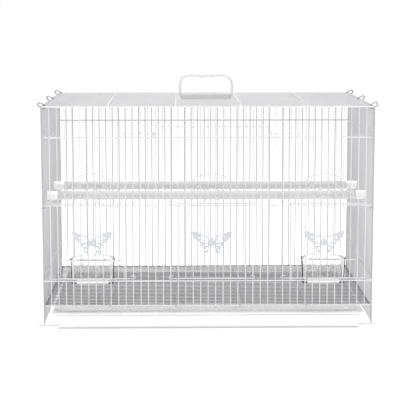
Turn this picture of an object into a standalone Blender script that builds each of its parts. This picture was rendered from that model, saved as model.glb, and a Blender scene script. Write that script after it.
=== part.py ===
"""A wire bird cage with lift-up doors, cups, perches, a pull-out tray and a fold-down handle.

Metres, +Z up. The front of the cage faces -Y and its left side is at -X. The origin is the
centre of the footprint, on the surface that the cage stands on.
"""

import math

import bmesh
import bpy
from mathutils import Matrix, Vector

# Wire stock
WIRE_R = 0.0009  # thin bars
RAIL_R = 0.00125  # rails and cross bars
POST_R = 0.0015  # corner posts
FRAME_R = 0.0015  # edge wires of the top and of the floor grate
FLAT = math.cos(math.radians(30))  # a rail's flat face lies this share of its radius from its axis

# Fits
GAP = 0.0003  # between separate pieces that touch
PASS_GAP = 0.0001  # between a rail and the bars that it only passes
WELD_SINK = 0.0003  # how far crossing bars sink into each other where they are welded
RUN_GAP = 0.0006  # between a moving piece and what guides it

# Cage
POST_SPAN = 0.605  # left post axis to right post axis
PITCHES_ACROSS = 44
DEPTH = 0.403  # front post axis to rear post axis
SIDE_PITCHES = 29
TOP_RAIL_Z = 0.4045
UPPER_RAIL_Z = 0.3485
MID_RAIL_Z = 0.2236
SILL_Z = 0.0843
BASE_RAIL_Z = 0.0380
SIDE_MID_Z = 0.2202
SIDE_LOWER_Z = 0.0950
SIDE_FOOT_Z = 0.0065
END_BEND = 0.0060  # a cut bar turns in to its rail over this height
BEND_R = 0.0015  # corners of bent wires
FRAME_CORNER_R = 0.0040  # corners of the edge wires
FOOT_WIRE_R = 0.00125
RUNNER_INSET = 0.0300  # the tray's runners lie this far inside the edges of its floor
FOOT_OUT = 0.0115  # the foot wires stand out this far past the post axes
CROSSING_PITCHES = (-13.2, -4.3, 4.3, 13.2)  # cross bars of top and floor, from the middle
HOOK_DROP = 0.0020  # cross bar hooks end this far below the rail axis they hook over

# Doors, placed in pitches from the middle of the front
DOOR_CENTRES = {"left": -15.5, "center": 0.5, "right": 15.5}
DOOR_PITCHES = 9  # outer door bar to outer door bar
DOOR_RAIL_R = 0.00125
DOOR_BOTTOM_Z = 0.0884
DOOR_TOP_Z = 0.2275
EYE_RISE = 0.0040  # the back strand of a guide eye lies this much above its front strand
EYE_TAIL = 0.0050  # the back strand reaches this far past the guiding bar
FAN_ARCS = 4
FAN_WIRE_R = 0.0009

# Butterfly cut-outs, drawn in the plane of the door, right half only
BUTTERFLY_Z = 0.1560
BUTTERFLY_THICKNESS = 0.0010
BUTTERFLY_OUTLINE = (
    (0.0000, 0.0085),
    (0.0020, 0.0070),
    (0.0028, 0.0030),
    (0.0085, 0.0115),
    (0.0190, 0.0150),
    (0.0300, 0.0200),
    (0.0365, 0.0195),
    (0.0360, 0.0140),
    (0.0310, 0.0065),
    (0.0255, 0.0010),
    (0.0200, -0.0015),
    (0.0195, -0.0055),
    (0.0165, -0.0100),
    (0.0135, -0.0190),
    (0.0085, -0.0190),
    (0.0060, -0.0105),
    (0.0022, -0.0055),
    (0.0000, -0.0100),
)
BUTTERFLY_SLOTS = (  # start, end and width of each slot in the right wings
    ((0.0085, 0.0075), (0.0185, 0.0115), 0.0026),
    ((0.0080, 0.0035), (0.0225, 0.0085), 0.0026),
    ((0.0075, 0.0000), (0.0215, 0.0030), 0.0024),
    ((0.0070, -0.0040), (0.0150, -0.0055), 0.0024),
    ((0.0080, -0.0095), (0.0115, -0.0145), 0.0024),
)
ANTENNA = ((0.0008, 0.0070), (0.0020, 0.0120), (0.0050, 0.0160), (0.0085, 0.0165))
ANTENNA_R = 0.00045

# Cups and their rails
CUP_RAIL_R = 0.0010
CUP_RAIL_Z = 0.1218
CUP_RAIL_HALF_PITCHES = 4.25
CUP_TOP_WIDTH = 0.0806
CUP_BOTTOM_WIDTH = 0.0770
CUP_TOP_DEPTH = 0.0530
CUP_BOTTOM_DEPTH = 0.0490
CUP_BOTTOM_Z = 0.0779
CUP_WALL = 0.0016
CUP_RIM_OUT = 0.0018
CUP_RIM_HEIGHT = 0.0022
CUP_HOOK_WIDTH = 0.0590
CUP_HOOK_WALL = 0.0014
CUP_HOOK_DROP = 0.0075
CUP_PAD_HEIGHT = 0.0100
CUP_PAD_OUT = 0.0010

# Bent wire high on the inside of the front, in pitches and heights
HANGER_REACH = (-11.5, 12.5)
HANGER_STEP = (-7.0, 8.0)
HANGER_LOW_Z = 0.3550
HANGER_HIGH_Z = 0.3680
HANGER_BARS = range(-3, 5)
HANGER_R = 0.0011

# Tray
TRAY_PROUD = 0.0220  # the tray's face stands this far in front of the front posts
TRAY_LEDGE = 0.0330  # depth of the ledge between face and basin
TRAY_SIDE_GAP = 0.0145  # rim to the posts' axes at each side
TRAY_RIM_OUT = 0.0070  # the rim stands out this far round the basin
TRAY_RIM_Z = 0.0265
TRAY_WALL = 0.0018
TRAY_REAR_GAP = 0.0060  # rim to the rear posts' axes
TRAY_SLOPE = 0.0075  # the basin's walls and the sides of the face lean out by this much
TRAY_SKIRT_Z = 0.0020
TRAY_SKIRT_RETURN = 0.0140
TRAY_CORNER = 0.0120

# Perches
PERCH_BARS = {"front": 7, "rear": 18}  # the side bar that each perch's slots sit on
PERCH_R = 0.0082
PERCH_CAP_R = 0.0086
PERCH_CAP_LENGTH = 0.0230
PERCH_CAP_WALL = 0.0020
PERCH_TENON_LENGTH = 0.0140
PERCH_PAST_BAR = 0.0023  # the caps end this far outside the side bars' axes
PERCH_SIDES = 16

# Handle
HANDLE_WIDTH = 0.1060
HANDLE_HEIGHT = 0.0432  # hinge axis to the top of the grip
HANDLE_CORNER = 0.0200
HANDLE_THICKNESS = 0.0048
HANDLE_DEPTH = 0.0060
HANDLE_GRIP_SWELL = 0.0027
HANDLE_WAVE = 0.0205  # from one swelling of the grip to the next
HANDLE_BOSS_R = 0.0035
HANDLE_BOSS_SET = 0.0002  # the bosses' ends lie this far inside the legs' faces
HANDLE_PIN_R = 0.0015
PIN_SIDES = 12
BOSS_SIDES = 16
HANDLE_PIN_END = 0.0010  # the pins stop this far inside the handle's outer face
BASE_DEPTH = 0.0100
BASE_HEIGHT = 0.0092
BASE_GROOVE = 0.0006  # depth of the groove round the bar, and half its width
BASE_GROOVE_UP = 0.0010  # above the pins
BASE_BEVEL = 0.0010
BASE_TAB_R = 0.0032
BASE_TAB_OUT = 0.0008
LUG_X = 0.0300
LUG_WIDTH = 0.0080
LUG_THICKNESS = 0.0030
LUG_LIP = 0.0015

# Clips
CLIP_R = 0.0009
CLIP_Z = 0.2175
TOP_CLIP_OUT = 0.0035  # the top clips' outer centre, beyond the side rail's axis
TOP_CLIP_UP = 0.0033
TOP_CLIP_REACH = 0.0037  # centre line radius of a top clip
TOP_CLIP_BARS = {"front": 0.5, "middle": SIDE_PITCHES // 2 + 0.5, "rear": SIDE_PITCHES - 0.5}

# Places that follow from the sizes above
PITCH = POST_SPAN / PITCHES_ACROSS
POST_X = POST_SPAN / 2
HOOK_OUT = 2 * RAIL_R + GAP  # hooks lie this far outside the post axes
FRONT_Y = -(DEPTH + HOOK_OUT + RAIL_R * FLAT - TRAY_PROUD) / 2
REAR_Y = FRONT_Y + DEPTH
RAIL_SET = WIRE_R + PASS_GAP + RAIL_R  # a passing rail's axis lies this far off its bars
INNER_Y = FRONT_Y + RAIL_SET
SILL_Y = FRONT_Y - RAIL_SET
SIDE_POST_SET = RAIL_SET + RAIL_R + GAP + POST_R
SIDE_FRONT_Y = FRONT_Y + SIDE_POST_SET
SIDE_REAR_Y = REAR_Y - SIDE_POST_SET
SIDE_PITCH = (SIDE_REAR_Y - SIDE_FRONT_Y) / SIDE_PITCHES
FOOT_Z = FOOT_WIRE_R * FLAT
POST_BOTTOM_Z = 2 * FOOT_Z + GAP
FRAME_X = POST_X - POST_R - GAP - FRAME_R
FRAME_INSET = RAIL_R + GAP + FRAME_R
DOOR_Y = FRONT_Y - WIRE_R - GAP - DOOR_RAIL_R
DOOR_HALF = DOOR_PITCHES / 2 * PITCH
GUIDE_HALF = DOOR_HALF + PITCH
DOOR_FOOT_Z = SILL_Z + RAIL_R * FLAT + GAP
TRAY_BOTTOM_Z = 2 * FOOT_Z + GAP
TRAY_RIM_HALF = POST_X - TRAY_SIDE_GAP
TRAY_TOP_HALF = TRAY_RIM_HALF - TRAY_RIM_OUT
TRAY_BOTTOM_HALF = TRAY_TOP_HALF - TRAY_SLOPE
CUP_RAIL_Y = INNER_Y
CUP_FRONT_Y = CUP_RAIL_Y + CUP_RAIL_R + GAP
CUP_HOOK_Z = CUP_RAIL_Z + CUP_RAIL_R * FLAT + GAP
CUP_RIM_Z = CUP_HOOK_Z + CUP_HOOK_WALL
PERCH_Z = SIDE_MID_Z + RAIL_R * FLAT + GAP + PERCH_CAP_R


def bar_z(rail_z):
    """Height of the cross bars that lie over wall rails at rail_z."""
    return rail_z + 2 * RAIL_R * FLAT + GAP


def frame_z(rail_z):
    """Height of the edge wire that those cross bars are welded on."""
    return bar_z(rail_z) - (FRAME_R + RAIL_R) * FLAT + WELD_SINK


def grate_wire_z(rail_z):
    """Height of the thin bars that pass under those cross bars."""
    return bar_z(rail_z) - RAIL_R * FLAT - PASS_GAP - WIRE_R


def side_bar_y(number):
    """Front-to-back place of a side bar, counted from the side panel's front post."""
    return SIDE_FRONT_Y + number * SIDE_PITCH


BASE_BOTTOM_Z = grate_wire_z(TOP_RAIL_Z) + WIRE_R + GAP
HINGE_Z = BASE_BOTTOM_Z + BASE_HEIGHT / 2
HINGE_Y = side_bar_y(SIDE_PITCHES / 2)


# Building blocks


def material(name, colour, roughness, metallic=0.0, alpha=1.0):
    made = bpy.data.materials.new(name)
    made.use_nodes = True
    shader = made.node_tree.nodes["Principled BSDF"]
    shader.inputs["Base Color"].default_value = (*colour, 1.0)
    shader.inputs["Roughness"].default_value = roughness
    shader.inputs["Metallic"].default_value = metallic
    shader.inputs["Alpha"].default_value = alpha
    return made


def link(name, mesh):
    obj = bpy.data.objects.new(name, mesh)
    bpy.context.scene.collection.objects.link(obj)
    return obj


def baked(obj):
    """A new mesh with the object's curve or modifiers worked out."""
    graph = bpy.context.evaluated_depsgraph_get()
    return bpy.data.meshes.new_from_object(obj.evaluated_get(graph))


def tidy(mesh):
    """Joins doubled corners and turns every face outwards."""
    shape = bmesh.new()
    shape.from_mesh(mesh)
    bmesh.ops.remove_doubles(shape, verts=shape.verts, dist=1e-6)
    bmesh.ops.recalc_face_normals(shape, faces=shape.faces)
    shape.to_mesh(mesh)
    shape.free()


def wires(name, runs, radius, sides=6, closed=False, tilt=0.0):
    """Wires along straight runs between points, as one mesh object with their ends closed."""
    curve = bpy.data.curves.new(name, "CURVE")
    curve.dimensions = "3D"
    curve.bevel_depth = radius
    curve.bevel_resolution = sides // 2 - 2
    curve.use_fill_caps = True
    for run in runs:
        spline = curve.splines.new("POLY")
        spline.points.add(len(run) - 1)
        spline.use_cyclic_u = closed
        for target, point in zip(spline.points, run):
            target.co = (*point, 1.0)
            target.tilt = tilt
    guide = link(name + "_guide", curve)
    mesh = baked(guide)
    bpy.data.objects.remove(guide)
    tidy(mesh)
    return link(name, mesh)


def rounded(path, radius, closed=False):
    """The same path with each corner turned in two steps, so that the wire keeps its thickness."""
    points = [Vector(point) for point in path]
    count = len(points)
    turned_path = [] if closed else [points[0]]
    for at in range(count) if closed else range(1, count - 1):
        before, corner, after = points[at - 1], points[at], points[(at + 1) % count]
        back = (before - corner).normalized()
        on = (after - corner).normalized()
        start = corner + radius * back
        end = corner + radius * on
        middle = (start + end) / 2
        reach = (corner - middle).length * (math.sqrt(2) - 1)
        turned_path += [start, middle + reach * (corner - middle).normalized(), end]
    if not closed:
        turned_path.append(points[-1])
    return turned_path


def thin_bars(name, runs, radius=WIRE_R):
    """Thin wires, drawn with four sides because a cage has so many of them."""
    return wires(name, runs, radius, sides=4)


def flat_rails(name, runs, radius, closed=False):
    """Rails that thin bars end on, with flat sides that lie as far out as a six-sided rail's."""
    return wires(name, runs, radius * FLAT * math.sqrt(2), sides=4, closed=closed, tilt=math.pi / 4)


def solid(name, shape):
    """A mesh object from a finished bmesh."""
    mesh = bpy.data.meshes.new(name)
    bmesh.ops.recalc_face_normals(shape, faces=shape.faces)
    shape.to_mesh(mesh)
    shape.free()
    return link(name, mesh)


def combine(obj, other, operation):
    """Applies a Boolean with another object, which is then removed."""
    cut = obj.modifiers.new(operation.lower(), "BOOLEAN")
    cut.operation = operation
    cut.solver = "EXACT"
    cut.object = other
    mesh = baked(obj)
    obj.modifiers.clear()
    obj.data = mesh
    bpy.data.objects.remove(other)
    return obj


def weld(obj, *others):
    for other in others:
        combine(obj, other, "UNION")
    return obj


def finish(obj, name, surface, origin=(0.0, 0.0, 0.0)):
    """Names the piece, gives it its material and moves its origin, with the piece left in place."""
    obj.name = name
    obj.data.name = name
    obj.data.materials.clear()
    obj.data.materials.append(surface)
    obj.data.transform(Matrix.Translation(-Vector(origin)))
    obj.location = origin
    obj.data.shade_smooth()
    obj.data.set_sharp_from_angle(angle=math.radians(65))
    return obj


def loft(name, rings):
    """A closed solid through rings of equally many corners, capped at both ends."""
    shape = bmesh.new()
    loops = [[shape.verts.new(point) for point in ring] for ring in rings]
    count = len(rings[0])
    for low, high in zip(loops, loops[1:]):
        for at in range(count):
            after = (at + 1) % count
            shape.faces.new((low[at], low[after], high[after], high[at]))
    shape.faces.new(reversed(loops[0]))
    shape.faces.new(loops[-1])
    return solid(name, shape)


def block(name, low, high):
    """A plain box between two corners."""
    rings = [
        [(low[0], low[1], z), (high[0], low[1], z), (high[0], high[1], z), (low[0], high[1], z)]
        for z in (low[2], high[2])
    ]
    return loft(name, rings)


def bar_of(name, outline, middle, width):
    """A bar along X with the given (y, z) outline."""
    return loft(name, [[(x, y, z) for y, z in outline] for x in (middle - width / 2, middle + width / 2)])


def turned(name, profile, sides, axis_y, axis_z):
    """A solid turned about a line along X, from (x, radius) pairs between two end faces."""
    rings = []
    for x, radius in profile:
        ring = []
        for step in range(sides):
            angle = 2 * math.pi * step / sides
            ring.append((x, axis_y + radius * math.cos(angle), axis_z + radius * math.sin(angle)))
        rings.append(ring)
    return loft(name, rings)


def link_path(first, second, radius, across, steps=4):
    """The centre line of an oval link round two centres, in the plane that holds across."""
    first = Vector(first)
    second = Vector(second)
    along = (second - first).normalized()
    side = Vector(across).normalized()
    path = []
    for centre, turn in ((second, 0.0), (first, math.pi)):
        for step in range(steps):
            angle = turn - math.pi / 2 + math.pi * step / (steps - 1)
            path.append(centre + radius * (math.cos(angle) * along + math.sin(angle) * side))
    return path


# Wire panels


def rail_along_x(y, z, half=POST_X):
    return [(-half, y, z), (half, y, z)]


def posts(name, places, bottom, top):
    return wires(name, [[(x, y, bottom), (x, y, top)] for x, y in places], POST_R, sides=8)


def is_cut(number):
    """Whether an upright bar of the front stops at a door opening."""
    reach = DOOR_PITCHES / 2 + 1
    return any(abs(number - centre) < reach for centre in DOOR_CENTRES.values())


def front_bars():
    runs = []
    for number in range(1 - PITCHES_ACROSS // 2, PITCHES_ACROSS // 2):
        x = number * PITCH
        low = (x, FRONT_Y, BASE_RAIL_Z)
        high = (x, FRONT_Y, TOP_RAIL_Z)
        if is_cut(number):
            runs.append([(x, INNER_Y, MID_RAIL_Z), (x, FRONT_Y, MID_RAIL_Z + END_BEND), high])
            runs.append([low, (x, FRONT_Y, SILL_Z - END_BEND), (x, SILL_Y, SILL_Z)])
        else:
            runs.append([low, high])
    return thin_bars("front_bars", runs)


def cup_rails():
    runs = []
    for side in ("left", "right"):
        middle = DOOR_CENTRES[side] * PITCH
        reach = CUP_RAIL_HALF_PITCHES * PITCH
        path = [
            (middle - reach, SILL_Y, SILL_Z),
            (middle - reach, CUP_RAIL_Y, SILL_Z),
            (middle - reach, CUP_RAIL_Y, CUP_RAIL_Z),
            (middle + reach, CUP_RAIL_Y, CUP_RAIL_Z),
            (middle + reach, CUP_RAIL_Y, SILL_Z),
            (middle + reach, SILL_Y, SILL_Z),
        ]
        runs.append(rounded(path, BEND_R))
    return wires("cup_rails", runs, CUP_RAIL_R)


def hanger():
    """A bent wire that steps up from the upper rail to a raised middle, on the inside."""
    left, right = (reach * PITCH for reach in HANGER_REACH)
    step_left, step_right = (step * PITCH for step in HANGER_STEP)
    path = [
        (left, INNER_Y, UPPER_RAIL_Z),
        (left, INNER_Y, HANGER_LOW_Z),
        (step_left, INNER_Y, HANGER_LOW_Z),
        (step_left, INNER_Y, HANGER_HIGH_Z),
        (step_right, INNER_Y, HANGER_HIGH_Z),
        (step_right, INNER_Y, HANGER_LOW_Z),
        (right, INNER_Y, HANGER_LOW_Z),
        (right, INNER_Y, UPPER_RAIL_Z),
    ]
    return wires("hanger", [rounded(path, BEND_R)], HANGER_R)


def hanger_bars():
    runs = [[(n * PITCH, INNER_Y, UPPER_RAIL_Z), (n * PITCH, INNER_Y, HANGER_HIGH_Z)] for n in HANGER_BARS]
    return thin_bars("hanger_bars", runs)


def front_panel(surface):
    places = [(-POST_X, FRONT_Y), (POST_X, FRONT_Y)]
    panel = posts("front_panel", places, POST_BOTTOM_Z, TOP_RAIL_Z + POST_R)
    rails = [
        rail_along_x(FRONT_Y, TOP_RAIL_Z),
        rail_along_x(FRONT_Y, BASE_RAIL_Z),
        rail_along_x(INNER_Y, UPPER_RAIL_Z),
        rail_along_x(INNER_Y, MID_RAIL_Z),
        rail_along_x(SILL_Y, SILL_Z),
    ]
    weld(panel, wires("front_rails", rails, RAIL_R), front_bars(), cup_rails(), hanger(), hanger_bars())
    return finish(panel, "front_panel", surface)


def back_panel(surface):
    places = [(-POST_X, REAR_Y), (POST_X, REAR_Y)]
    panel = posts("back_panel", places, POST_BOTTOM_Z, TOP_RAIL_Z + POST_R)
    rails = [rail_along_x(REAR_Y, TOP_RAIL_Z), rail_along_x(REAR_Y, BASE_RAIL_Z)]
    upper_rail = [rail_along_x(REAR_Y - RAIL_SET, UPPER_RAIL_Z)]
    bars = [
        [(n * PITCH, REAR_Y, BASE_RAIL_Z), (n * PITCH, REAR_Y, TOP_RAIL_Z)]
        for n in range(1 - PITCHES_ACROSS // 2, PITCHES_ACROSS // 2)
    ]
    weld(panel, flat_rails("back_rails", rails, RAIL_R), wires("upper_rail", upper_rail, RAIL_R))
    weld(panel, thin_bars("back_bars", bars))
    return finish(panel, "back_panel", surface)


def side_panel(side, sign, surface):
    x = sign * POST_X
    inner_x = sign * (POST_X - RAIL_SET)
    name = side + "_side_panel"
    places = [(x, SIDE_FRONT_Y), (x, SIDE_REAR_Y)]
    panel = posts(name, places, SIDE_FOOT_Z - POST_R, TOP_RAIL_Z + POST_R)
    grate_rest_z = frame_z(BASE_RAIL_Z) - (FRAME_R + RAIL_R) * FLAT - GAP
    rails = [[(x, SIDE_FRONT_Y, z), (x, SIDE_REAR_Y, z)] for z in (TOP_RAIL_Z, SIDE_FOOT_Z)]
    inner_rails = [
        [(inner_x, SIDE_FRONT_Y, z), (inner_x, SIDE_REAR_Y, z)]
        for z in (UPPER_RAIL_Z, SIDE_MID_Z, SIDE_LOWER_Z, grate_rest_z)
    ]
    bars = [
        [(x, side_bar_y(number), SIDE_FOOT_Z), (x, side_bar_y(number), TOP_RAIL_Z)]
        for number in range(1, SIDE_PITCHES)
    ]
    weld(panel, flat_rails(name + "_rails", rails, RAIL_R), wires(name + "_inner_rails", inner_rails, RAIL_R))
    weld(panel, thin_bars(name + "_bars", bars))
    return finish(panel, name, surface)


def grate(name, rail_z, surface):
    """A flat grate in an edge wire, whose cross bars hook over the front and rear rails at rail_z."""
    front = FRONT_Y + FRAME_INSET
    rear = REAR_Y - FRAME_INSET
    edge_z = frame_z(rail_z)
    edge = [
        (-FRAME_X, front, edge_z),
        (FRAME_X, front, edge_z),
        (FRAME_X, rear, edge_z),
        (-FRAME_X, rear, edge_z),
    ]
    panel = flat_rails(name, [rounded(edge, FRAME_CORNER_R, closed=True)], FRAME_R, closed=True)
    wire_z = grate_wire_z(rail_z)
    bars = [
        [(-FRAME_X, side_bar_y(number), wire_z), (FRAME_X, side_bar_y(number), wire_z)]
        for number in range(1, SIDE_PITCHES)
    ]
    top = bar_z(rail_z)
    tip = rail_z - HOOK_DROP
    crossings = []
    for number in CROSSING_PITCHES:
        x = number * PITCH
        path = [
            (x, FRONT_Y - HOOK_OUT, tip),
            (x, FRONT_Y - HOOK_OUT, top),
            (x, REAR_Y + HOOK_OUT, top),
            (x, REAR_Y + HOOK_OUT, tip),
        ]
        crossings.append(rounded(path, BEND_R))
    weld(panel, thin_bars(name + "_bars", bars), wires(name + "_crossings", crossings, RAIL_R))
    return finish(panel, name, surface)


def foot_wire(name, y, surface):
    wire = wires(name, [rail_along_x(y, FOOT_Z, POST_X + FOOT_OUT)], FOOT_WIRE_R)
    return finish(wire, name, surface, (0.0, y, FOOT_Z))


def tray_runner(side, sign, surface):
    """A wire between the two foot wires that the tray's floor slides on."""
    x = sign * (TRAY_BOTTOM_HALF - RUNNER_INSET)
    inset = FOOT_WIRE_R + GAP
    name = "tray_runner_" + side
    wire = wires(name, [[(x, FRONT_Y + inset, FOOT_Z), (x, REAR_Y - inset, FOOT_Z)]], FOOT_WIRE_R)
    return finish(wire, name, surface, (x, FRONT_Y + inset, FOOT_Z))


# Clips that tie the panels together


def corner_clip(end, side, surface):
    sign = -1 if side == "left" else 1
    post_y, side_y = (FRONT_Y, SIDE_FRONT_Y) if end == "front" else (REAR_Y, SIDE_REAR_Y)
    reach = POST_R + GAP + CLIP_R
    centres = [(sign * POST_X, y, CLIP_Z) for y in (post_y, side_y)]
    path = link_path(*centres, reach, (1, 0, 0))
    name = "corner_clip_" + end + "_" + side
    return finish(wires(name, [path], CLIP_R, closed=True), name, surface, path[0])


def top_clip(side, place, number, surface):
    """A link round the top edge wire and the side panel's top rail, its far end up and outwards."""
    sign = -1 if side == "left" else 1
    y = side_bar_y(number)
    edge = Vector((FRAME_X, y, frame_z(TOP_RAIL_Z)))
    outer = Vector((POST_X + TOP_CLIP_OUT, y, TOP_RAIL_Z + TOP_CLIP_UP))
    slope = outer - edge
    below = Vector((slope.z, 0, -slope.x)).normalized()
    inner = edge + below * (TOP_CLIP_REACH - CLIP_R - FRAME_R - GAP)
    across = Vector((outer.z - inner.z, 0, inner.x - outer.x))
    path = link_path(inner, outer, TOP_CLIP_REACH, across)
    path = [(sign * point.x, point.y, point.z) for point in path]
    name = "top_clip_" + side + "_" + place
    return finish(wires(name, [path], CLIP_R, closed=True), name, surface, path[0])


# Doors


def guide_eye(sign, z):
    """An open loop from the door's outer bar round the neighbouring bar of the front."""
    near = DOOR_HALF * sign
    guide = GUIDE_HALF * sign
    clear = WIRE_R + RUN_GAP + WIRE_R
    back_y = FRONT_Y - DOOR_Y + clear
    return [
        (near, 0.0, z),
        (guide + sign * clear * 0.6, 0.0, z),
        (guide + sign * clear * 1.3, back_y / 2, z + EYE_RISE / 2),
        (guide + sign * clear * 0.6, back_y, z + EYE_RISE),
        (guide - sign * EYE_TAIL, back_y, z + EYE_RISE),
    ]


def fan_arcs(z):
    """Half circles one pitch apart that stand on the door's top rail."""
    runs = []
    for ring in range(1, FAN_ARCS + 1):
        radius = ring * PITCH
        steps = 4 + 2 * ring
        run = []
        for step in range(steps + 1):
            angle = math.pi * step / steps
            run.append((radius * math.cos(angle), 0.0, z + radius * math.sin(angle)))
        runs.append(run)
    return thin_bars("fan", runs, FAN_WIRE_R)


def door(side, surface):
    """A lift-up door, modelled about the middle of its bottom rail."""
    name = "door_" + side
    rise = DOOR_TOP_Z - DOOR_BOTTOM_Z
    foot = DOOR_FOOT_Z - DOOR_BOTTOM_Z
    outer = [[(x, 0.0, foot), (x, 0.0, rise + DOOR_RAIL_R)] for x in (-DOOR_HALF, DOOR_HALF)]
    panel = wires(name, outer, DOOR_RAIL_R, sides=8)
    rails = [[(-DOOR_HALF, 0.0, z), (DOOR_HALF, 0.0, z)] for z in (0.0, rise)]
    bars = []
    for number in range(1, DOOR_PITCHES):
        x = -DOOR_HALF + number * PITCH
        bars.append([(x, 0.0, 0.0), (x, 0.0, rise)])
    eyes = [guide_eye(sign, z) for sign in (-1, 1) for z in (0.0, rise)]
    weld(
        panel,
        wires("door_rails", rails, DOOR_RAIL_R),
        thin_bars("door_bars", bars),
        thin_bars("guide_eyes", eyes),
        fan_arcs(rise),
    )
    finish(panel, name, surface)
    panel.location = (DOOR_CENTRES[side] * PITCH, DOOR_Y, DOOR_BOTTOM_Z)
    return panel


def flat_slot(start, end, width, thickness, steps=3):
    """Two rings of a round-ended slot in the XZ plane, through a plate of the given thickness."""
    path = link_path((start[0], 0, start[1]), (end[0], 0, end[1]), width / 2, slot_across(start, end), steps)
    return [[(p.x, y, p.z) for p in path] for y in (-thickness, 2 * thickness)]


def slot_across(start, end):
    return (start[1] - end[1], 0, end[0] - start[0])


def butterfly(side, surface):
    """A flat cut-out modelled about its middle, its back face at y = 0."""
    name = "butterfly_" + side
    left = [(-x, z) for x, z in reversed(BUTTERFLY_OUTLINE[1:-1])]
    outline = BUTTERFLY_OUTLINE + tuple(left)
    rings = [[(x, y, z) for x, z in outline] for y in (-BUTTERFLY_THICKNESS, 0.0)]
    plate = loft(name, rings)
    for start, end, width in BUTTERFLY_SLOTS:
        for sign in (-1, 1):
            mirrored = ((sign * start[0], start[1]), (sign * end[0], end[1]))
            rings = flat_slot(*mirrored, width, BUTTERFLY_THICKNESS)
            combine(plate, loft("slot", rings), "DIFFERENCE")
    for sign in (-1, 1):
        run = [(sign * x, -BUTTERFLY_THICKNESS / 2, z) for x, z in ANTENNA]
        weld(plate, thin_bars("antenna", [run], ANTENNA_R))
    finish(plate, name, surface)
    plate.location = (DOOR_CENTRES[side] * PITCH, DOOR_Y - WIRE_R - GAP, BUTTERFLY_Z)
    return plate


# Cups


def cup_ring(width, depth, inset, out, z, steps=14):
    """A D outline, flat at the front, drawn in by inset all round or out at the sides and rear."""
    half = width / 2 - inset + out
    front = inset
    deep = depth - 2 * inset + out
    ring = []
    for step in range(steps + 1):
        angle = math.pi * step / steps
        ring.append((half * math.cos(angle), front + deep * math.sin(angle), z))
    return ring


def cup(side, surface):
    """A clear cup modelled about the middle of its front wall's outer face, at the height of its rail."""
    name = "cup_" + side
    bottom = CUP_BOTTOM_Z - CUP_RAIL_Z
    top = CUP_RIM_Z - CUP_RAIL_Z
    under = top - CUP_RIM_HEIGHT
    rings = [
        cup_ring(CUP_BOTTOM_WIDTH, CUP_BOTTOM_DEPTH, 0.0, 0.0, bottom),
        cup_ring(CUP_TOP_WIDTH, CUP_TOP_DEPTH, 0.0, 0.0, under),
        cup_ring(CUP_TOP_WIDTH, CUP_TOP_DEPTH, 0.0, CUP_RIM_OUT, under),
        cup_ring(CUP_TOP_WIDTH, CUP_TOP_DEPTH, 0.0, CUP_RIM_OUT, top),
        cup_ring(CUP_TOP_WIDTH, CUP_TOP_DEPTH, CUP_WALL, 0.0, top),
        cup_ring(CUP_BOTTOM_WIDTH, CUP_BOTTOM_DEPTH, CUP_WALL, 0.0, bottom + CUP_WALL),
    ]
    body = loft(name, rings)
    half = CUP_HOOK_WIDTH / 2
    lip_back = -(2 * CUP_RAIL_R + 2 * GAP)
    lip_front = lip_back - CUP_HOOK_WALL
    hook_z = CUP_HOOK_Z - CUP_RAIL_Z
    hook_top = top - CUP_HOOK_WALL / 10
    outline = [
        (CUP_WALL / 2, hook_top),
        (lip_front, hook_top),
        (lip_front, hook_z - CUP_HOOK_DROP),
        (lip_back, hook_z - CUP_HOOK_DROP),
        (lip_back, hook_z),
        (CUP_WALL / 2, hook_z),
    ]
    hook = bar_of("hook", outline, 0.0, CUP_HOOK_WIDTH)
    pad_low = bottom + CUP_WALL / 2
    pad = block("pad", (-half, -CUP_PAD_OUT, pad_low), (half, CUP_WALL / 2, pad_low + CUP_PAD_HEIGHT))
    weld(body, hook, pad)
    finish(body, name, surface)
    body.location = (DOOR_CENTRES[side] * PITCH, CUP_FRONT_Y, CUP_RAIL_Z)
    return body


# Tray


def tray_ring(half, front, rear, z, corner=TRAY_CORNER, steps=3):
    """A rectangle with rounded corners at height z."""
    ring = []
    centres = (
        (half - corner, rear - corner, 0.0),
        (corner - half, rear - corner, 0.5),
        (corner - half, front + corner, 1.0),
        (half - corner, front + corner, 1.5),
    )
    for x, y, turn in centres:
        for step in range(steps):
            angle = math.pi * (turn + step / (steps - 1) / 2)
            ring.append((x + corner * math.cos(angle), y + corner * math.sin(angle), z))
    return ring


def tray_skirt(face_y):
    """The face below the ledge, with a short return at each side, narrower at the bottom."""
    rings = []
    top_z = TRAY_RIM_Z - TRAY_WALL / 2
    for z, half in ((TRAY_SKIRT_Z, TRAY_BOTTOM_HALF), (top_z, TRAY_TOP_HALF)):
        inner = half - TRAY_WALL
        front = face_y + TRAY_WALL / 4
        back = front + TRAY_SKIRT_RETURN
        rings.append(
            [
                (-half, front, z),
                (half, front, z),
                (half, back, z),
                (inner, back, z),
                (inner, front + TRAY_WALL, z),
                (-inner, front + TRAY_WALL, z),
                (-inner, back, z),
                (-half, back, z),
            ]
        )
    return loft("tray_skirt", rings)


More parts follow.
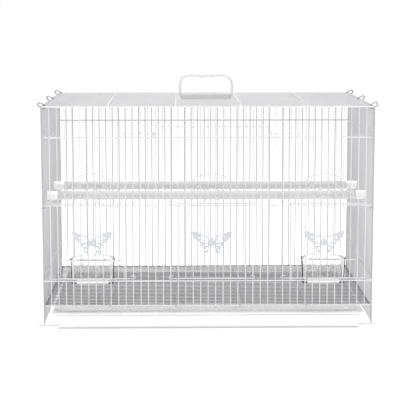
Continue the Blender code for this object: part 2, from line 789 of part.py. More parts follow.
def tray(surface):
    """The pull-out tray: a shallow basin with a rim, a wide ledge in front and a face below it."""
    face = FRONT_Y - TRAY_PROUD
    basin_front = face + TRAY_LEDGE
    rear = REAR_Y - TRAY_REAR_GAP
    basin_rear = rear - TRAY_RIM_OUT
    under = TRAY_RIM_Z - TRAY_WALL
    floor_front = basin_front + TRAY_SLOPE
    floor_rear = basin_rear - TRAY_SLOPE
    wall = TRAY_WALL
    outlines = (
        (TRAY_BOTTOM_HALF, floor_front, floor_rear, TRAY_BOTTOM_Z),
        (TRAY_TOP_HALF, basin_front, basin_rear, under),
        (TRAY_RIM_HALF, face, rear, under),
        (TRAY_RIM_HALF, face, rear, TRAY_RIM_Z),
        (TRAY_TOP_HALF - wall, basin_front + wall, basin_rear - wall, TRAY_RIM_Z),
        (TRAY_BOTTOM_HALF - wall, floor_front + wall, floor_rear - wall, TRAY_BOTTOM_Z + wall),
    )
    body = weld(loft("tray", [tray_ring(*outline) for outline in outlines]), tray_skirt(face))
    return finish(body, "tray", surface, (0.0, face, TRAY_BOTTOM_Z))


# Perches


def perch(place, surface):
    y = side_bar_y(PERCH_BARS[place])
    end = POST_X + PERCH_PAST_BAR
    shoulder = end - PERCH_CAP_LENGTH - GAP
    tip = shoulder + PERCH_TENON_LENGTH
    tenon_r = PERCH_CAP_R - PERCH_CAP_WALL - GAP
    profile = [(-tip, tenon_r), (-shoulder, tenon_r), (-shoulder, PERCH_R)]
    profile += [(-x, r) for x, r in reversed(profile)]
    name = "perch_" + place
    return finish(turned(name, profile, PERCH_SIDES, y, PERCH_Z), name, surface, (0.0, y, PERCH_Z))


def perch_cap(place, side, surface):
    """A cap that takes the perch in its bore and sits on a side bar with the slot in its end."""
    sign = -1 if side == "left" else 1
    y = side_bar_y(PERCH_BARS[place])
    end = POST_X + PERCH_PAST_BAR
    mouth = end - PERCH_CAP_LENGTH
    bore_end = mouth + PERCH_TENON_LENGTH + GAP
    bore_r = PERCH_CAP_R - PERCH_CAP_WALL
    chamfer = PERCH_CAP_WALL / 2
    profile = [
        (bore_end, bore_r),
        (mouth, bore_r),
        (mouth, PERCH_CAP_R),
        (end - chamfer, PERCH_CAP_R),
        (end, PERCH_CAP_R - chamfer),
    ]
    profile = [(sign * x, radius) for x, radius in profile]
    name = "perch_cap_" + place + "_" + side
    cap = turned(name, profile, PERCH_SIDES, y, PERCH_Z)
    slot_half = WIRE_R + GAP
    slot_end = POST_X - WIRE_R - GAP
    low = (min(sign * slot_end, sign * (end + chamfer)), y - slot_half, PERCH_Z - 2 * PERCH_CAP_R)
    high = (max(sign * slot_end, sign * (end + chamfer)), y + slot_half, PERCH_Z + 2 * PERCH_CAP_R)
    combine(cap, block("slot", low, high), "DIFFERENCE")
    return finish(cap, name, surface, (sign * mouth, y, PERCH_Z))


# Handle


def handle_outline(steps=5):
    """Handle outline about its hinge axis: the outer edge over the top, then the wavy inner edge back."""
    half = HANDLE_WIDTH / 2
    inner_half = half - HANDLE_THICKNESS
    outer = [(half, 0.0)]
    inner = [(inner_half, 0.0)]
    for sign, turn in ((1, 0.0), (-1, 0.5)):
        for step in range(steps + 1):
            angle = math.pi * (turn + step / steps / 2)
            x = sign * (half - HANDLE_CORNER)
            z = HANDLE_HEIGHT - HANDLE_CORNER
            inner_r = HANDLE_CORNER - HANDLE_THICKNESS
            outer.append((x + HANDLE_CORNER * math.cos(angle), z + HANDLE_CORNER * math.sin(angle)))
            inner.append((x + inner_r * math.cos(angle), z + inner_r * math.sin(angle)))
        if sign == 1:
            inner += grip_waves(half - HANDLE_CORNER)
    outer.append((-half, 0.0))
    inner.append((-inner_half, 0.0))
    return outer + inner[::-1]


def grip_waves(reach, count=20):
    """Points of the grip's lower edge, from right to left, swelling between the fingers."""
    points = []
    for step in range(1, count):
        x = reach * (1 - 2 * step / count)
        wave = math.sin(math.pi * x / HANDLE_WAVE) ** 2
        fade = math.cos(math.pi * x / reach / 2) ** 2
        points.append((x, HANDLE_HEIGHT - HANDLE_THICKNESS - HANDLE_GRIP_SWELL * wave * fade))
    return points


def handle(surface):
    name = "handle"
    half_depth = HANDLE_DEPTH / 2
    rings = [[(x, y, z) for x, z in handle_outline()] for y in (-half_depth, half_depth)]
    body = loft(name, rings)
    for sign in (-1, 1):
        outer = sign * (HANDLE_WIDTH / 2 - HANDLE_BOSS_SET)
        inner = sign * (HANDLE_WIDTH / 2 - HANDLE_THICKNESS + HANDLE_BOSS_SET)
        weld(body, turned("boss", [(inner, HANDLE_BOSS_R), (outer, HANDLE_BOSS_R)], BOSS_SIDES, 0.0, 0.0))
        hole_r = HANDLE_PIN_R + GAP
        past = sign * 2 * HANDLE_BOSS_SET
        drill = turned("drill", [(inner - past, hole_r), (outer + past, hole_r)], PIN_SIDES, 0.0, 0.0)
        combine(body, drill, "DIFFERENCE")
    finish(body, name, surface)
    body.location = (0.0, HINGE_Y, HINGE_Z)
    return body


def base_lug(sign):
    """An L-shaped lug that reaches down between two top wires and under one of them."""
    bottom = -BASE_HEIGHT / 2
    wire_below = bottom - GAP - 2 * WIRE_R
    low = wire_below - GAP - LUG_THICKNESS / 2
    half = LUG_THICKNESS / 2
    reach = SIDE_PITCH / 2 + LUG_LIP
    outline = [
        (-half, low),
        (reach, low),
        (reach, wire_below - GAP),
        (half, wire_below - GAP),
        (half, bottom + BASE_HEIGHT / 4),
        (-half, bottom + BASE_HEIGHT / 4),
    ]
    return bar_of("lug", [(sign * y, z) for y, z in outline], sign * LUG_X, LUG_WIDTH)


def base_tab(steps=8):
    """The half-round thumb tab on the front of the bar, over its groove."""
    face = -BASE_DEPTH / 2
    foot = BASE_GROOVE_UP - 2 * BASE_GROOVE
    outline = [(BASE_TAB_R, foot)]
    for step in range(steps + 1):
        angle = math.pi * step / steps
        outline.append((BASE_TAB_R * math.cos(angle), BASE_GROOVE_UP + BASE_TAB_R * math.sin(angle)))
    outline.append((-BASE_TAB_R, foot))
    sunk = face + 2 * BASE_GROOVE
    return loft("tab", [[(x, y, z) for x, z in outline] for y in (face - BASE_TAB_OUT, sunk)])


def handle_base(surface):
    """The grooved bar between the handle's legs, with a hinge pin at each end, a tab and two lugs."""
    half = HANDLE_WIDTH / 2 - HANDLE_THICKNESS - GAP
    rings = []
    for z, inset in (
        (-BASE_HEIGHT / 2, 0.0),
        (BASE_GROOVE_UP - BASE_GROOVE, 0.0),
        (BASE_GROOVE_UP, BASE_GROOVE),
        (BASE_GROOVE_UP + BASE_GROOVE, 0.0),
        (BASE_HEIGHT / 2 - BASE_BEVEL, 0.0),
        (BASE_HEIGHT / 2, BASE_BEVEL),
    ):
        x = half - inset
        y = BASE_DEPTH / 2 - inset
        rings.append([(-x, -y, z), (x, -y, z), (x, y, z), (-x, y, z)])
    body = loft("handle_base", rings)
    pin = HANDLE_WIDTH / 2 - HANDLE_PIN_END
    weld(body, turned("pins", [(-pin, HANDLE_PIN_R), (pin, HANDLE_PIN_R)], PIN_SIDES, 0.0, 0.0))
    weld(body, base_tab(), base_lug(-1), base_lug(1))
    finish(body, "handle_base", surface)
    body.location = (0.0, HINGE_Y, HINGE_Z)
    return body


def build():
    for obj in list(bpy.data.objects):
        bpy.data.objects.remove(obj)
    powder = material("white_powder_coat", (0.86, 0.87, 0.88), 0.38)
    enamel = material("pale_enamel", (0.80, 0.85, 0.90), 0.35)
    tray_white = material("tray_plastic", (0.88, 0.89, 0.90), 0.32)
    clear = material("clear_plastic", (0.93, 0.95, 0.97), 0.08, alpha=0.35)
    perch_grey = material("perch_plastic", (0.66, 0.67, 0.68), 0.60)
    cap_white = material("cap_plastic", (0.90, 0.90, 0.91), 0.25)
    handle_white = material("handle_plastic", (0.90, 0.90, 0.91), 0.30)

    front_panel(powder)
    back_panel(powder)
    grate("top_panel", TOP_RAIL_Z, powder)
    grate("floor_grate", BASE_RAIL_Z, powder)
    foot_wire("front_foot_wire", FRONT_Y, powder)
    foot_wire("rear_foot_wire", REAR_Y, powder)
    for side, sign in (("left", -1), ("right", 1)):
        side_panel(side, sign, powder)
        tray_runner(side, sign, powder)
        for end in ("front", "rear"):
            corner_clip(end, side, powder)
        for place, number in TOP_CLIP_BARS.items():
            top_clip(side, place, number, powder)
        cup(side, clear)
        for place in PERCH_BARS:
            perch_cap(place, side, cap_white)
    for side in DOOR_CENTRES:
        door(side, powder)
        butterfly(side, enamel)
    for place in PERCH_BARS:
        perch(place, perch_grey)
    tray(tray_white)
    handle_base(handle_white)
    handle(handle_white)


build()
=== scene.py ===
"""Looks of a white wire bird cage, laid round its CAD bodies. Metres, +Z up, front towards -Y."""

import math

import bmesh
import bpy
from mathutils import Matrix, Vector


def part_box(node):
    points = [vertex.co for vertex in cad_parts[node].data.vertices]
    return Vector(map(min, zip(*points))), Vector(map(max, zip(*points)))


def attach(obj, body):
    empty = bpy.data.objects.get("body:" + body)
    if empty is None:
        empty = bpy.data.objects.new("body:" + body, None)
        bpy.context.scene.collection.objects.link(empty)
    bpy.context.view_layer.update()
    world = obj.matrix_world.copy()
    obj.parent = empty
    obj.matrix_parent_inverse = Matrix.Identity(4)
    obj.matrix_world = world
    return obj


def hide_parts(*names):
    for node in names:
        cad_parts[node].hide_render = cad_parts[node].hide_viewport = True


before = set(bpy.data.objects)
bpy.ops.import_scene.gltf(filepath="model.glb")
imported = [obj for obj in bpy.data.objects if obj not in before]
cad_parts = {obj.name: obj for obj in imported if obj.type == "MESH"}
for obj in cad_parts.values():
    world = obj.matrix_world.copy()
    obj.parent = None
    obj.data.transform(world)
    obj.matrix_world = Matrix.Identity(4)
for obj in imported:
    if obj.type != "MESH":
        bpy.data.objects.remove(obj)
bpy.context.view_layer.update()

# Wire stock, as round wires
WIRE_R = 0.0009
RAIL_R = 0.0012
CROSSING_R = 0.00108
POST_R = 0.0015
FRAME_R = 0.0014
FOOT_WIRE_R = 0.00108
CLIP_R = 0.0011
HANGER_R = 0.0010
CUP_RAIL_R = 0.0010
WIRE_END = ((0.0, 0.62), (0.25, 0.88), (0.7, 1.0))  # depth from an end and width there, in radii

# Sides of the wires: thin bars, most wires, thick wires and posts
BAR_SIDES = 10
WIRE_SIDES = 12
THICK_SIDES = 14
POST_SIDES = 16

# Spot welds, as half sizes along X, Y and Z
WELD_R = 0.0011
WELD_WIDE = 1.25 * WELD_R
WELD_FLAT = 0.9 * WELD_R
FRONT_WELD = (WELD_WIDE, WELD_FLAT, WELD_WIDE)
SIDE_WELD = (WELD_FLAT, WELD_WIDE, WELD_WIDE)
DOOR_WELD = (WELD_WIDE, WELD_R, WELD_WIDE)
CROSSING_WELD = (WELD_WIDE, WELD_WIDE, 0.8 * WELD_R)
FRAME_WELD = (1.4 * WELD_R, 1.3 * WELD_R, 1.2 * WELD_R)
BEAD_TURNS = (0.12, 0.3, 0.5, 0.7, 0.88)  # heights of a weld's rings, in half turns
BEAD_SIDES = 8

# Fits and small edges
GAP = 0.0003  # between separate pieces that touch
FINE_EDGE = 0.0004  # rounding of small moulded edges
LEAST_CORNER = 0.125  # share of a block's rounding that its flat faces keep
JOIN_DISTANCE = 1e-7

# Edges between faces stay sharp above these angles, in degrees
SHARP_ANGLE = 50.0
CUT_SHARP_ANGLE = 40.0
TRAY_SHARP_ANGLE = 40.0
CUP_SHARP_ANGLE = 35.0

# Heights and spacings of the cage
POST_X = 0.3025
PITCHES_ACROSS = 44
PITCH = 2 * POST_X / PITCHES_ACROSS
SIDE_PITCHES = 29
FRONT_BARS = range(1 - PITCHES_ACROSS // 2, PITCHES_ACROSS // 2)  # counted from the middle
SIDE_BARS = range(1, SIDE_PITCHES)  # counted from the front
TOP_RAIL_Z = 0.4045
UPPER_RAIL_Z = 0.3485
MID_RAIL_Z = 0.2236
SILL_Z = 0.0843
BASE_RAIL_Z = 0.0380
SIDE_MID_Z = 0.2202
SIDE_LOWER_Z = 0.0950
SIDE_FOOT_Z = 0.0065
GRATE_REST_Z = 0.0357
POST_BOTTOM_Z = 0.0025
TOP_BAR_Z = 0.40696
FLOOR_BAR_Z = 0.04046
CROSSING_DROP = 0.00208  # thin bars of a grate lie this far below its cross bars
EDGE_DROP = 0.00208  # and so does its edge wire
CROSSING_PITCHES = (-13.2, -4.3, 4.3, 13.2)
HOOK_OUT = 0.0028  # the cross bars' hooks lie this far outside the posts' axes
HOOK_DROP = 0.0020
END_BEND = 0.0060  # a cut bar turns to its rail over this height
BEND_R = 0.0022
CORNER_BEND_R = 0.0040
RAIL_SET = 0.00225  # a passing rail's axis lies this far off its bars

# Places read from the frame
FRONT_Y = sum(corner.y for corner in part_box("front_foot_wire")) / 2
REAR_Y = sum(corner.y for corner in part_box("rear_foot_wire")) / 2
SIDE_FRONT_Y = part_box("left_side_panel")[0].y + POST_R
SIDE_REAR_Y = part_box("left_side_panel")[1].y - POST_R
SIDE_PITCH = (SIDE_REAR_Y - SIDE_FRONT_Y) / SIDE_PITCHES
INNER_Y = FRONT_Y + RAIL_SET
SILL_Y = FRONT_Y - RAIL_SET
FRAME_X = 0.2992
FRAME_INSET = 0.00305

# Doors
DOOR_CENTRES = {"left": -15.5, "center": 0.5, "right": 15.5}
DOOR_PITCHES = 9
DOOR_HALF = DOOR_PITCHES / 2 * PITCH
GUIDE_HALF = DOOR_HALF + PITCH
DOOR_Y = FRONT_Y - 0.00245
DOOR_BOTTOM_Z = 0.0884
DOOR_TOP_Z = 0.2275
DOOR_FOOT_Z = 0.0857
EYE_RISE = 0.0040  # the back strand of a guide eye lies this far above its front strand
EYE_TAIL = 0.0050
EYE_CLEAR = 0.0024  # and this far behind the guiding bar's axis
EYE_TURN = 0.0012  # both strands turn this far past that axis
EYE_OUT = 0.00312
FAN_ARCS = 4
FAN_STEPS = 14
FAN_RING_STEPS = 6  # more steps for each ring outwards

# Butterflies, drawn in the plane of the door, right half only
BUTTERFLY_Z = 0.1560
BUTTERFLY_THICKNESS = 0.0010
BUTTERFLY_EDGE = 0.0002
BUTTERFLY_STEPS = 5
SLOT_STEPS = 8
PLATE_EDGE_STEPS = 2
BUTTERFLY_OUTLINE = (
    (0.0000, 0.0085),
    (0.0020, 0.0070),
    (0.0028, 0.0030),
    (0.0085, 0.0115),
    (0.0190, 0.0150),
    (0.0300, 0.0200),
    (0.0365, 0.0195),
    (0.0360, 0.0140),
    (0.0310, 0.0065),
    (0.0255, 0.0010),
    (0.0200, -0.0015),
    (0.0195, -0.0055),
    (0.0165, -0.0100),
    (0.0135, -0.0190),
    (0.0085, -0.0190),
    (0.0060, -0.0105),
    (0.0022, -0.0055),
    (0.0000, -0.0100),
)
BUTTERFLY_SLOTS = (  # start, end and width of each slot in the right wings
    ((0.0085, 0.0075), (0.0185, 0.0115), 0.0026),
    ((0.0080, 0.0035), (0.0225, 0.0085), 0.0026),
    ((0.0075, 0.0000), (0.0215, 0.0030), 0.0024),
    ((0.0070, -0.0040), (0.0150, -0.0055), 0.0024),
    ((0.0080, -0.0095), (0.0115, -0.0145), 0.0024),
)
ANTENNA = ((0.0008, 0.0070), (0.0020, 0.0120), (0.0050, 0.0160), (0.0085, 0.0165))
ANTENNA_R = 0.00045

# Bent wire high on the inside of the front, in pitches and heights
HANGER_REACH = (-11.5, 12.5)
HANGER_STEP = (-7, 8)
HANGER_LOW_Z = 0.3550
HANGER_HIGH_Z = 0.3680
HANGER_BARS = range(-3, 5)
HANGER_EYE_R = 0.0026
HANGER_EYE_OUT = 0.0035
HANGER_EYE_STEPS = 20

# Cups
CUP_RAIL_Z = 0.1218
CUP_RAIL_HALF_PITCHES = 4.25
CUP_FRONT_Y = INNER_Y + CUP_RAIL_R + GAP
CUP_TOP_WIDTH = 0.0806
CUP_BOTTOM_WIDTH = 0.0770
CUP_TOP_DEPTH = 0.0530
CUP_BOTTOM_DEPTH = 0.0490
CUP_BOTTOM_Z = 0.0779
CUP_RIM_Z = 0.12436
CUP_WALL = 0.0016
CUP_RIM_OUT = 0.0018
CUP_RIM_HEIGHT = 0.0022
CUP_RIM_EDGE = 0.0005
CUP_BASE_EDGE = 0.0015
CUP_INNER_EDGE = 0.0020
CUP_CORNER = 0.0026
CUP_LEAST_CORNER = 0.0008
CUP_CORNER_STEPS = 6
CUP_ARC_STEPS = 30
CUP_HOOK_HALF = 0.0295
CUP_HOOK_WALL = 0.0014
CUP_HOOK_LOW_Z = 0.11547
CUP_HOOK_OUT = 0.0026  # from the cup's front to the back of its hook
CUP_HOOK_SINK = 0.0001  # the hook's top lies this far below the rim's
CUP_PAD_HEIGHT = 0.0100
CUP_PAD_OUT = 0.0010
CUP_PAD_EDGE = 0.0003

# Tray
TRAY_FACE_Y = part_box("tray")[0].y
TRAY_LEDGE = 0.0330
TRAY_REAR_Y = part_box("tray")[1].y
TRAY_RIM_OUT = 0.0070
TRAY_RIM_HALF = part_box("tray")[1].x
TRAY_RIM_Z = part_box("tray")[1].z
TRAY_BOTTOM_Z = 0.00247
TRAY_SKIRT_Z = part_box("tray")[0].z
TRAY_WALL = 0.0018
TRAY_SLOPE = 0.0075
TRAY_CORNER = 0.0120
TRAY_LEAST_CORNER = 0.0020
TRAY_CORNER_STEPS = 8
TRAY_RIM_EDGE = 0.0008
TRAY_BASE_EDGE = 0.0025
TRAY_INNER_EDGE = 0.0040
TRAY_LIP = ((-0.0012, 0.0), (0.0, 0.0004), (0.0006, 0.0016))  # inwards and down, inside the rim
TRAY_SKIRT_SET = 0.00045  # the face lies this far behind the rim's edge
TRAY_SKIRT_EDGE = 0.0007
TRAY_SKIRT_RETURN = 0.0140
TRAY_FACE_CORNER = 0.0030
LIP_GROOVE_HEIGHT = 0.0017  # shadow groove under the tray's lip
LIP_GROOVE_DEPTH = 0.00374
LIP_GROOVE_SLANT = 0.00034  # its foot rises by this much towards the back

# Perches
PERCH_BARS = {"front": 7, "rear": 18}
PERCH_Z = sum(corner.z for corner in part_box("perch_front")) / 2
PERCH_R = 0.0082
PERCH_CAP_R = 0.0086
PERCH_CAP_LENGTH = 0.0230
PERCH_CAP_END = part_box("perch_cap_front_right")[1].x
PERCH_TENON_R = 0.0063
PERCH_TENON_LENGTH = 0.0140
PERCH_SLOT_HALF = 0.0012
PERCH_SLOT_REACH = 0.0200
PERCH_SLOT_PAST = 0.0030
ROD_SIDES = 40
CAP_SIDES = 48
CAP_MOUTH_EDGE = 0.0005
CAP_END_EDGE = 0.0016

# Handle
HANDLE_HALF = 0.0530
HANDLE_HEIGHT = 0.0432
HANDLE_CORNER = 0.0200
HANDLE_THICKNESS = 0.0048
HANDLE_DEPTH = 0.0060
HANDLE_EDGE = 0.0012
HANDLE_FOOT_R = 0.76 * HANDLE_THICKNESS
HANDLE_FOOT_SLANT = 0.0008  # the legs' feet rise by this much at their inner side
HANDLE_FOOT_STEPS = 8
HANDLE_CORNER_STEPS = 16
HANDLE_WAVE_STEPS = 64
HANDLE_SWELL = 0.0027
HANDLE_WAVE = 0.0205
HINGE_Y = (SIDE_FRONT_Y + SIDE_REAR_Y) / 2
HINGE_Z = 0.41068
BASE_HALF_DEPTH = 0.0050
BASE_HALF_HEIGHT = 0.0046
BASE_EDGE = 0.0009
BASE_GROOVE = 0.0006
BASE_GROOVE_TURNS = (-1.0, -0.7, -0.35, 0.0, 0.35, 0.7, 1.0)  # from its foot to its top
BASE_GROOVE_UP = 0.0010
BASE_TAB_R = 0.0032
BASE_TAB_OUT = 0.0008
BASE_TAB_STEPS = 24
PIN_R = 0.0015
PIN_EDGE = 0.0003
PIN_ROOT = 0.0010  # the pins start this far inside the bar
PIN_END = 0.0010  # and stop this far inside the handle's outer face
PIN_SIDES = 24
DRILL_SIDES = 32
DRILL_PAST = 0.0010
LUG_X = 0.0300
LUG_HALF_WIDTH = 0.0040
LUG_HALF_THICKNESS = 0.0015
LUG_LIP = 0.0015  # the lips reach this far past the side bars' places
LUG_LIP_HALF_HEIGHT = 0.0008

# Clips
CLIP_Z = 0.2175
CORNER_CLIP_CLEAR = 0.0012  # a link's centre line lies this far off the posts
TOP_CLIP_BARS = {"front": 0.5, "middle": SIDE_PITCHES // 2 + 0.5, "rear": SIDE_PITCHES - 0.5}
TOP_CLIP_REACH = 0.0037
TOP_CLIP_OUT = 0.0035
TOP_CLIP_UP = 0.0033
TOP_CLIP_DROP = 0.0010


def side_bar_y(number):
    return SIDE_FRONT_Y + number * SIDE_PITCH


# Mesh building


class Shape:
    """Corners and faces of one piece, gathered from many simple solids."""

    def __init__(self):
        self.points = []
        self.faces = []

    def rings(self, rings, closed=False):
        """Skins rings of equally many corners, and caps open ends."""
        start = len(self.points)
        count = len(rings[0])
        for ring in rings:
            self.points += [tuple(point) for point in ring]
        pairs = list(zip(range(len(rings)), range(1, len(rings))))
        if closed:
            pairs.append((len(rings) - 1, 0))
        for low, high in pairs:
            for at in range(count):
                after = (at + 1) % count
                a = start + low * count
                b = start + high * count
                self.faces.append((a + at, a + after, b + after, b + at))
        if not closed:
            last = start + (len(rings) - 1) * count
            self.faces.append(tuple(reversed(range(start, start + count))))
            self.faces.append(tuple(range(last, last + count)))

    def tube(self, path, radius, sides=WIRE_SIDES, closed=False):
        """A round wire along a path, its ends slightly rounded."""
        points = [Vector(point) for point in path]
        count = len(points)
        tangents = []
        for at in range(count):
            if closed:
                step = points[(at + 1) % count] - points[at - 1]
            else:
                step = points[min(at + 1, count - 1)] - points[max(at - 1, 0)]
            tangents.append(step.normalized())
        stations = [(point, tangent, 1.0) for point, tangent in zip(points, tangents)]
        if not closed:
            stations = rounded_ends(stations, radius)
        normal = stations[0][1].orthogonal().normalized()
        rings = []
        for centre, tangent, share in stations:
            normal = (normal - normal.dot(tangent) * tangent).normalized()
            side = tangent.cross(normal)
            ring = []
            for across, up in circle(sides):
                ring.append(centre + radius * share * (across * normal + up * side))
            rings.append(ring)
        self.rings(rings, closed=closed)

    def bead(self, centre, halves):
        """A small rounded lump, such as the metal of a spot weld."""
        rings = []
        for turn in BEAD_TURNS:
            across = math.sin(math.pi * turn)
            z = centre[2] - halves[2] * math.cos(math.pi * turn)
            ring = []
            for x, y in circle(BEAD_SIDES):
                ring.append((centre[0] + halves[0] * across * x, centre[1] + halves[1] * across * y, z))
            rings.append(ring)
        self.rings(rings)

    def turned(self, profile, sides, axis_y, axis_z):
        """A solid turned about a line along X, from (x, radius) pairs."""
        rings = []
        for x, radius in profile:
            rings.append([(x, axis_y + radius * y, axis_z + radius * z) for y, z in circle(sides)])
        self.rings(rings)

    def block(self, middle, halves, radius):
        """A box with all its edges rounded."""
        rings = []
        rise = halves[2]
        pairs = [(inset, drop - rise) for inset, drop in edge_steps(radius)]
        pairs += [(inset, rise - drop) for inset, drop in reversed(edge_steps(radius))]
        for inset, z in pairs:
            corner = max(radius - inset, LEAST_CORNER * radius)
            plan = rectangle(halves[0] - inset, halves[1] - inset, corner)
            rings.append([(middle[0] + x, middle[1] + y, middle[2] + z) for x, y in plan])
        self.rings(rings)

    def made(self, name, surface, sharp=SHARP_ANGLE):
        mesh = bpy.data.meshes.new(name)
        mesh.from_pydata(self.points, [], self.faces)
        return named(mesh, name, surface, sharp)


def rounded_ends(stations, radius):
    """The stations of an open wire, with two more near each end where it narrows."""
    first, first_way, _ = stations[0]
    last, last_way, _ = stations[-1]
    start = [(first + depth * radius * first_way, first_way, share) for depth, share in WIRE_END]
    end = [(last - depth * radius * last_way, last_way, share) for depth, share in reversed(WIRE_END)]
    return start + stations[1:-1] + end


def arc(start, end, steps):
    """Cosine and sine at even steps between two angles, which are given in half turns."""
    angles = [math.pi * (start + (end - start) * step / steps) for step in range(steps + 1)]
    return [(math.cos(angle), math.sin(angle)) for angle in angles]


def circle(sides):
    return arc(0, 2, sides)[:-1]


def outward(mesh):
    """Joins doubled corners and turns every face outwards."""
    shape = bmesh.new()
    shape.from_mesh(mesh)
    bmesh.ops.remove_doubles(shape, verts=shape.verts, dist=JOIN_DISTANCE)
    bmesh.ops.recalc_face_normals(shape, faces=shape.faces)
    shape.to_mesh(mesh)
    shape.free()


def bent(path, radius, closed=False, steps=5):
    """The path with an arc of the given radius at each corner."""
    points = [Vector(point) for point in path]
    count = len(points)
    made = [] if closed else [points[0]]
    for at in range(count) if closed else range(1, count - 1):
        corner = points[at]
        back = (points[at - 1] - corner).normalized()
        on = (points[(at + 1) % count] - corner).normalized()
        turn = math.pi - back.angle(on)
        reach = radius * math.tan(turn / 2)
        centre = corner + (back + on).normalized() * (radius / math.cos(turn / 2))
        start = (corner + reach * back - centre).normalized()
        end = (corner + reach * on - centre).normalized()
        for step in range(steps + 1):
            made.append(centre + radius * start.slerp(end, step / steps))
    if not closed:
        made.append(points[-1])
    return made


def placed(piece, *nodes, body="cage", slot="white_powder_coat"):
    """The piece stands for CAD nodes, if any, which it hides, and rides on a body; slot is not used."""
    if nodes:
        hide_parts(*nodes)
    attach(piece, body)


def smooth(points, steps=6, closed=False):
    """A smooth line through the points."""
    points = [Vector(point) for point in points]
    count = len(points)
    made = []
    for at in range(count if closed else count - 1):
        if closed:
            a, b, c, d = (points[(at + shift) % count] for shift in (-1, 0, 1, 2))
        else:
            b, c = points[at], points[at + 1]
            a = points[at - 1] if at else 2 * b - c
            d = points[at + 2] if at + 2 < count else 2 * c - b
        for step in range(steps):
            t = step / steps
            square = 2 * a - 5 * b + 4 * c - d
            cube = 3 * b - a - 3 * c + d
            made.append(0.5 * (2 * b + (c - a) * t + square * t**2 + cube * t**3))
    if not closed:
        made.append(points[-1])
    return made


def link_path(first, second, radius, across, steps=10):
    """The centre line of an oval link round two centres, in the plane that holds across."""
    first = Vector(first)
    second = Vector(second)
    along = (second - first).normalized()
    side = Vector(across).normalized()
    path = []
    for centre, turn in ((second, 0), (first, 1)):
        for on, up in arc(turn - 0.5, turn + 0.5, steps - 1):
            path.append(centre + radius * (on * along + up * side))
    return path


def plate(name, outlines, thickness, edge, surface):
    """A flat plate in the XZ plane with rounded edges, its back at y = 0; later outlines are holes."""
    curve = bpy.data.curves.new(name, "CURVE")
    curve.dimensions = "2D"
    curve.fill_mode = "BOTH"
    curve.extrude = thickness / 2 - edge
    curve.bevel_depth = edge
    curve.bevel_resolution = PLATE_EDGE_STEPS
    curve.offset = -edge
    for outline in outlines:
        spline = curve.splines.new("POLY")
        spline.points.add(len(outline) - 1)
        spline.use_cyclic_u = True
        for target, (x, z) in zip(spline.points, outline):
            target.co = (x, z, 0.0, 1.0)
    guide = bpy.data.objects.new(name + "_guide", curve)
    bpy.context.scene.collection.objects.link(guide)
    mesh = worked_out(guide)
    bpy.data.objects.remove(guide)
    mesh.transform(Matrix.Translation((0, -thickness / 2, 0)) @ Matrix.Rotation(math.pi / 2, 4, "X"))
    return named(mesh, name, surface)


def worked_out(obj):
    """A new mesh with the object's curve or modifiers applied."""
    graph = bpy.context.evaluated_depsgraph_get()
    return bpy.data.meshes.new_from_object(obj.evaluated_get(graph))


def named(mesh, name, surface, sharp=SHARP_ANGLE):
    mesh.name = name
    mesh.materials.clear()
    mesh.materials.append(surface)
    outward(mesh)
    mesh.shade_smooth()
    mesh.set_sharp_from_angle(angle=math.radians(sharp))
    obj = bpy.data.objects.new(name, mesh)
    bpy.context.scene.collection.objects.link(obj)
    return obj


def cut_away(obj, cutter):
    """Takes another object's solid out of this one and removes that object."""
    cut = obj.modifiers.new("cut", "BOOLEAN")
    cut.operation = "DIFFERENCE"
    cut.solver = "EXACT"
    cut.object = cutter
    mesh = worked_out(obj)
    obj.modifiers.clear()
    obj.data = mesh
    bpy.data.objects.remove(cutter)
    mesh.shade_smooth()
    mesh.set_sharp_from_angle(angle=math.radians(CUT_SHARP_ANGLE))


def rectangle(half_x, half_y, corner, steps=5):
    """A rounded rectangle about the middle."""
    ring = []
    for turn, sign_x, sign_y in ((0.0, 1, 1), (0.5, -1, 1), (1.0, -1, -1), (1.5, 1, -1)):
        x = sign_x * (half_x - corner)
        y = sign_y * (half_y - corner)
        ring += [(x + corner * across, y + corner * up) for across, up in arc(turn, turn + 0.5, steps)]
    return ring


def edge_steps(radius, steps=4):
    """Pairs of inset and height for a quarter round, from the flat face to the side."""
    return [(radius * (1 - up), radius * (1 - across)) for across, up in arc(0, 0.5, steps)]


def along_x(y, z):
    return [(-POST_X, y, z), (POST_X, y, z)]


# Wire panels


def is_cut(number):
    """Whether a doorway takes the middle out of this upright."""
    reach = DOOR_PITCHES / 2 + 1
    return any(abs(number - centre) < reach for centre in DOOR_CENTRES.values())


def post(shape, x, y, foot_z):
    shape.tube([(x, y, foot_z), (x, y, TOP_RAIL_Z + POST_R)], POST_R, POST_SIDES)


def front_posts(surface):
    shape = Shape()
    for x in (-POST_X, POST_X):
        post(shape, x, FRONT_Y, POST_BOTTOM_Z)
    placed(shape.made("front_posts", surface))


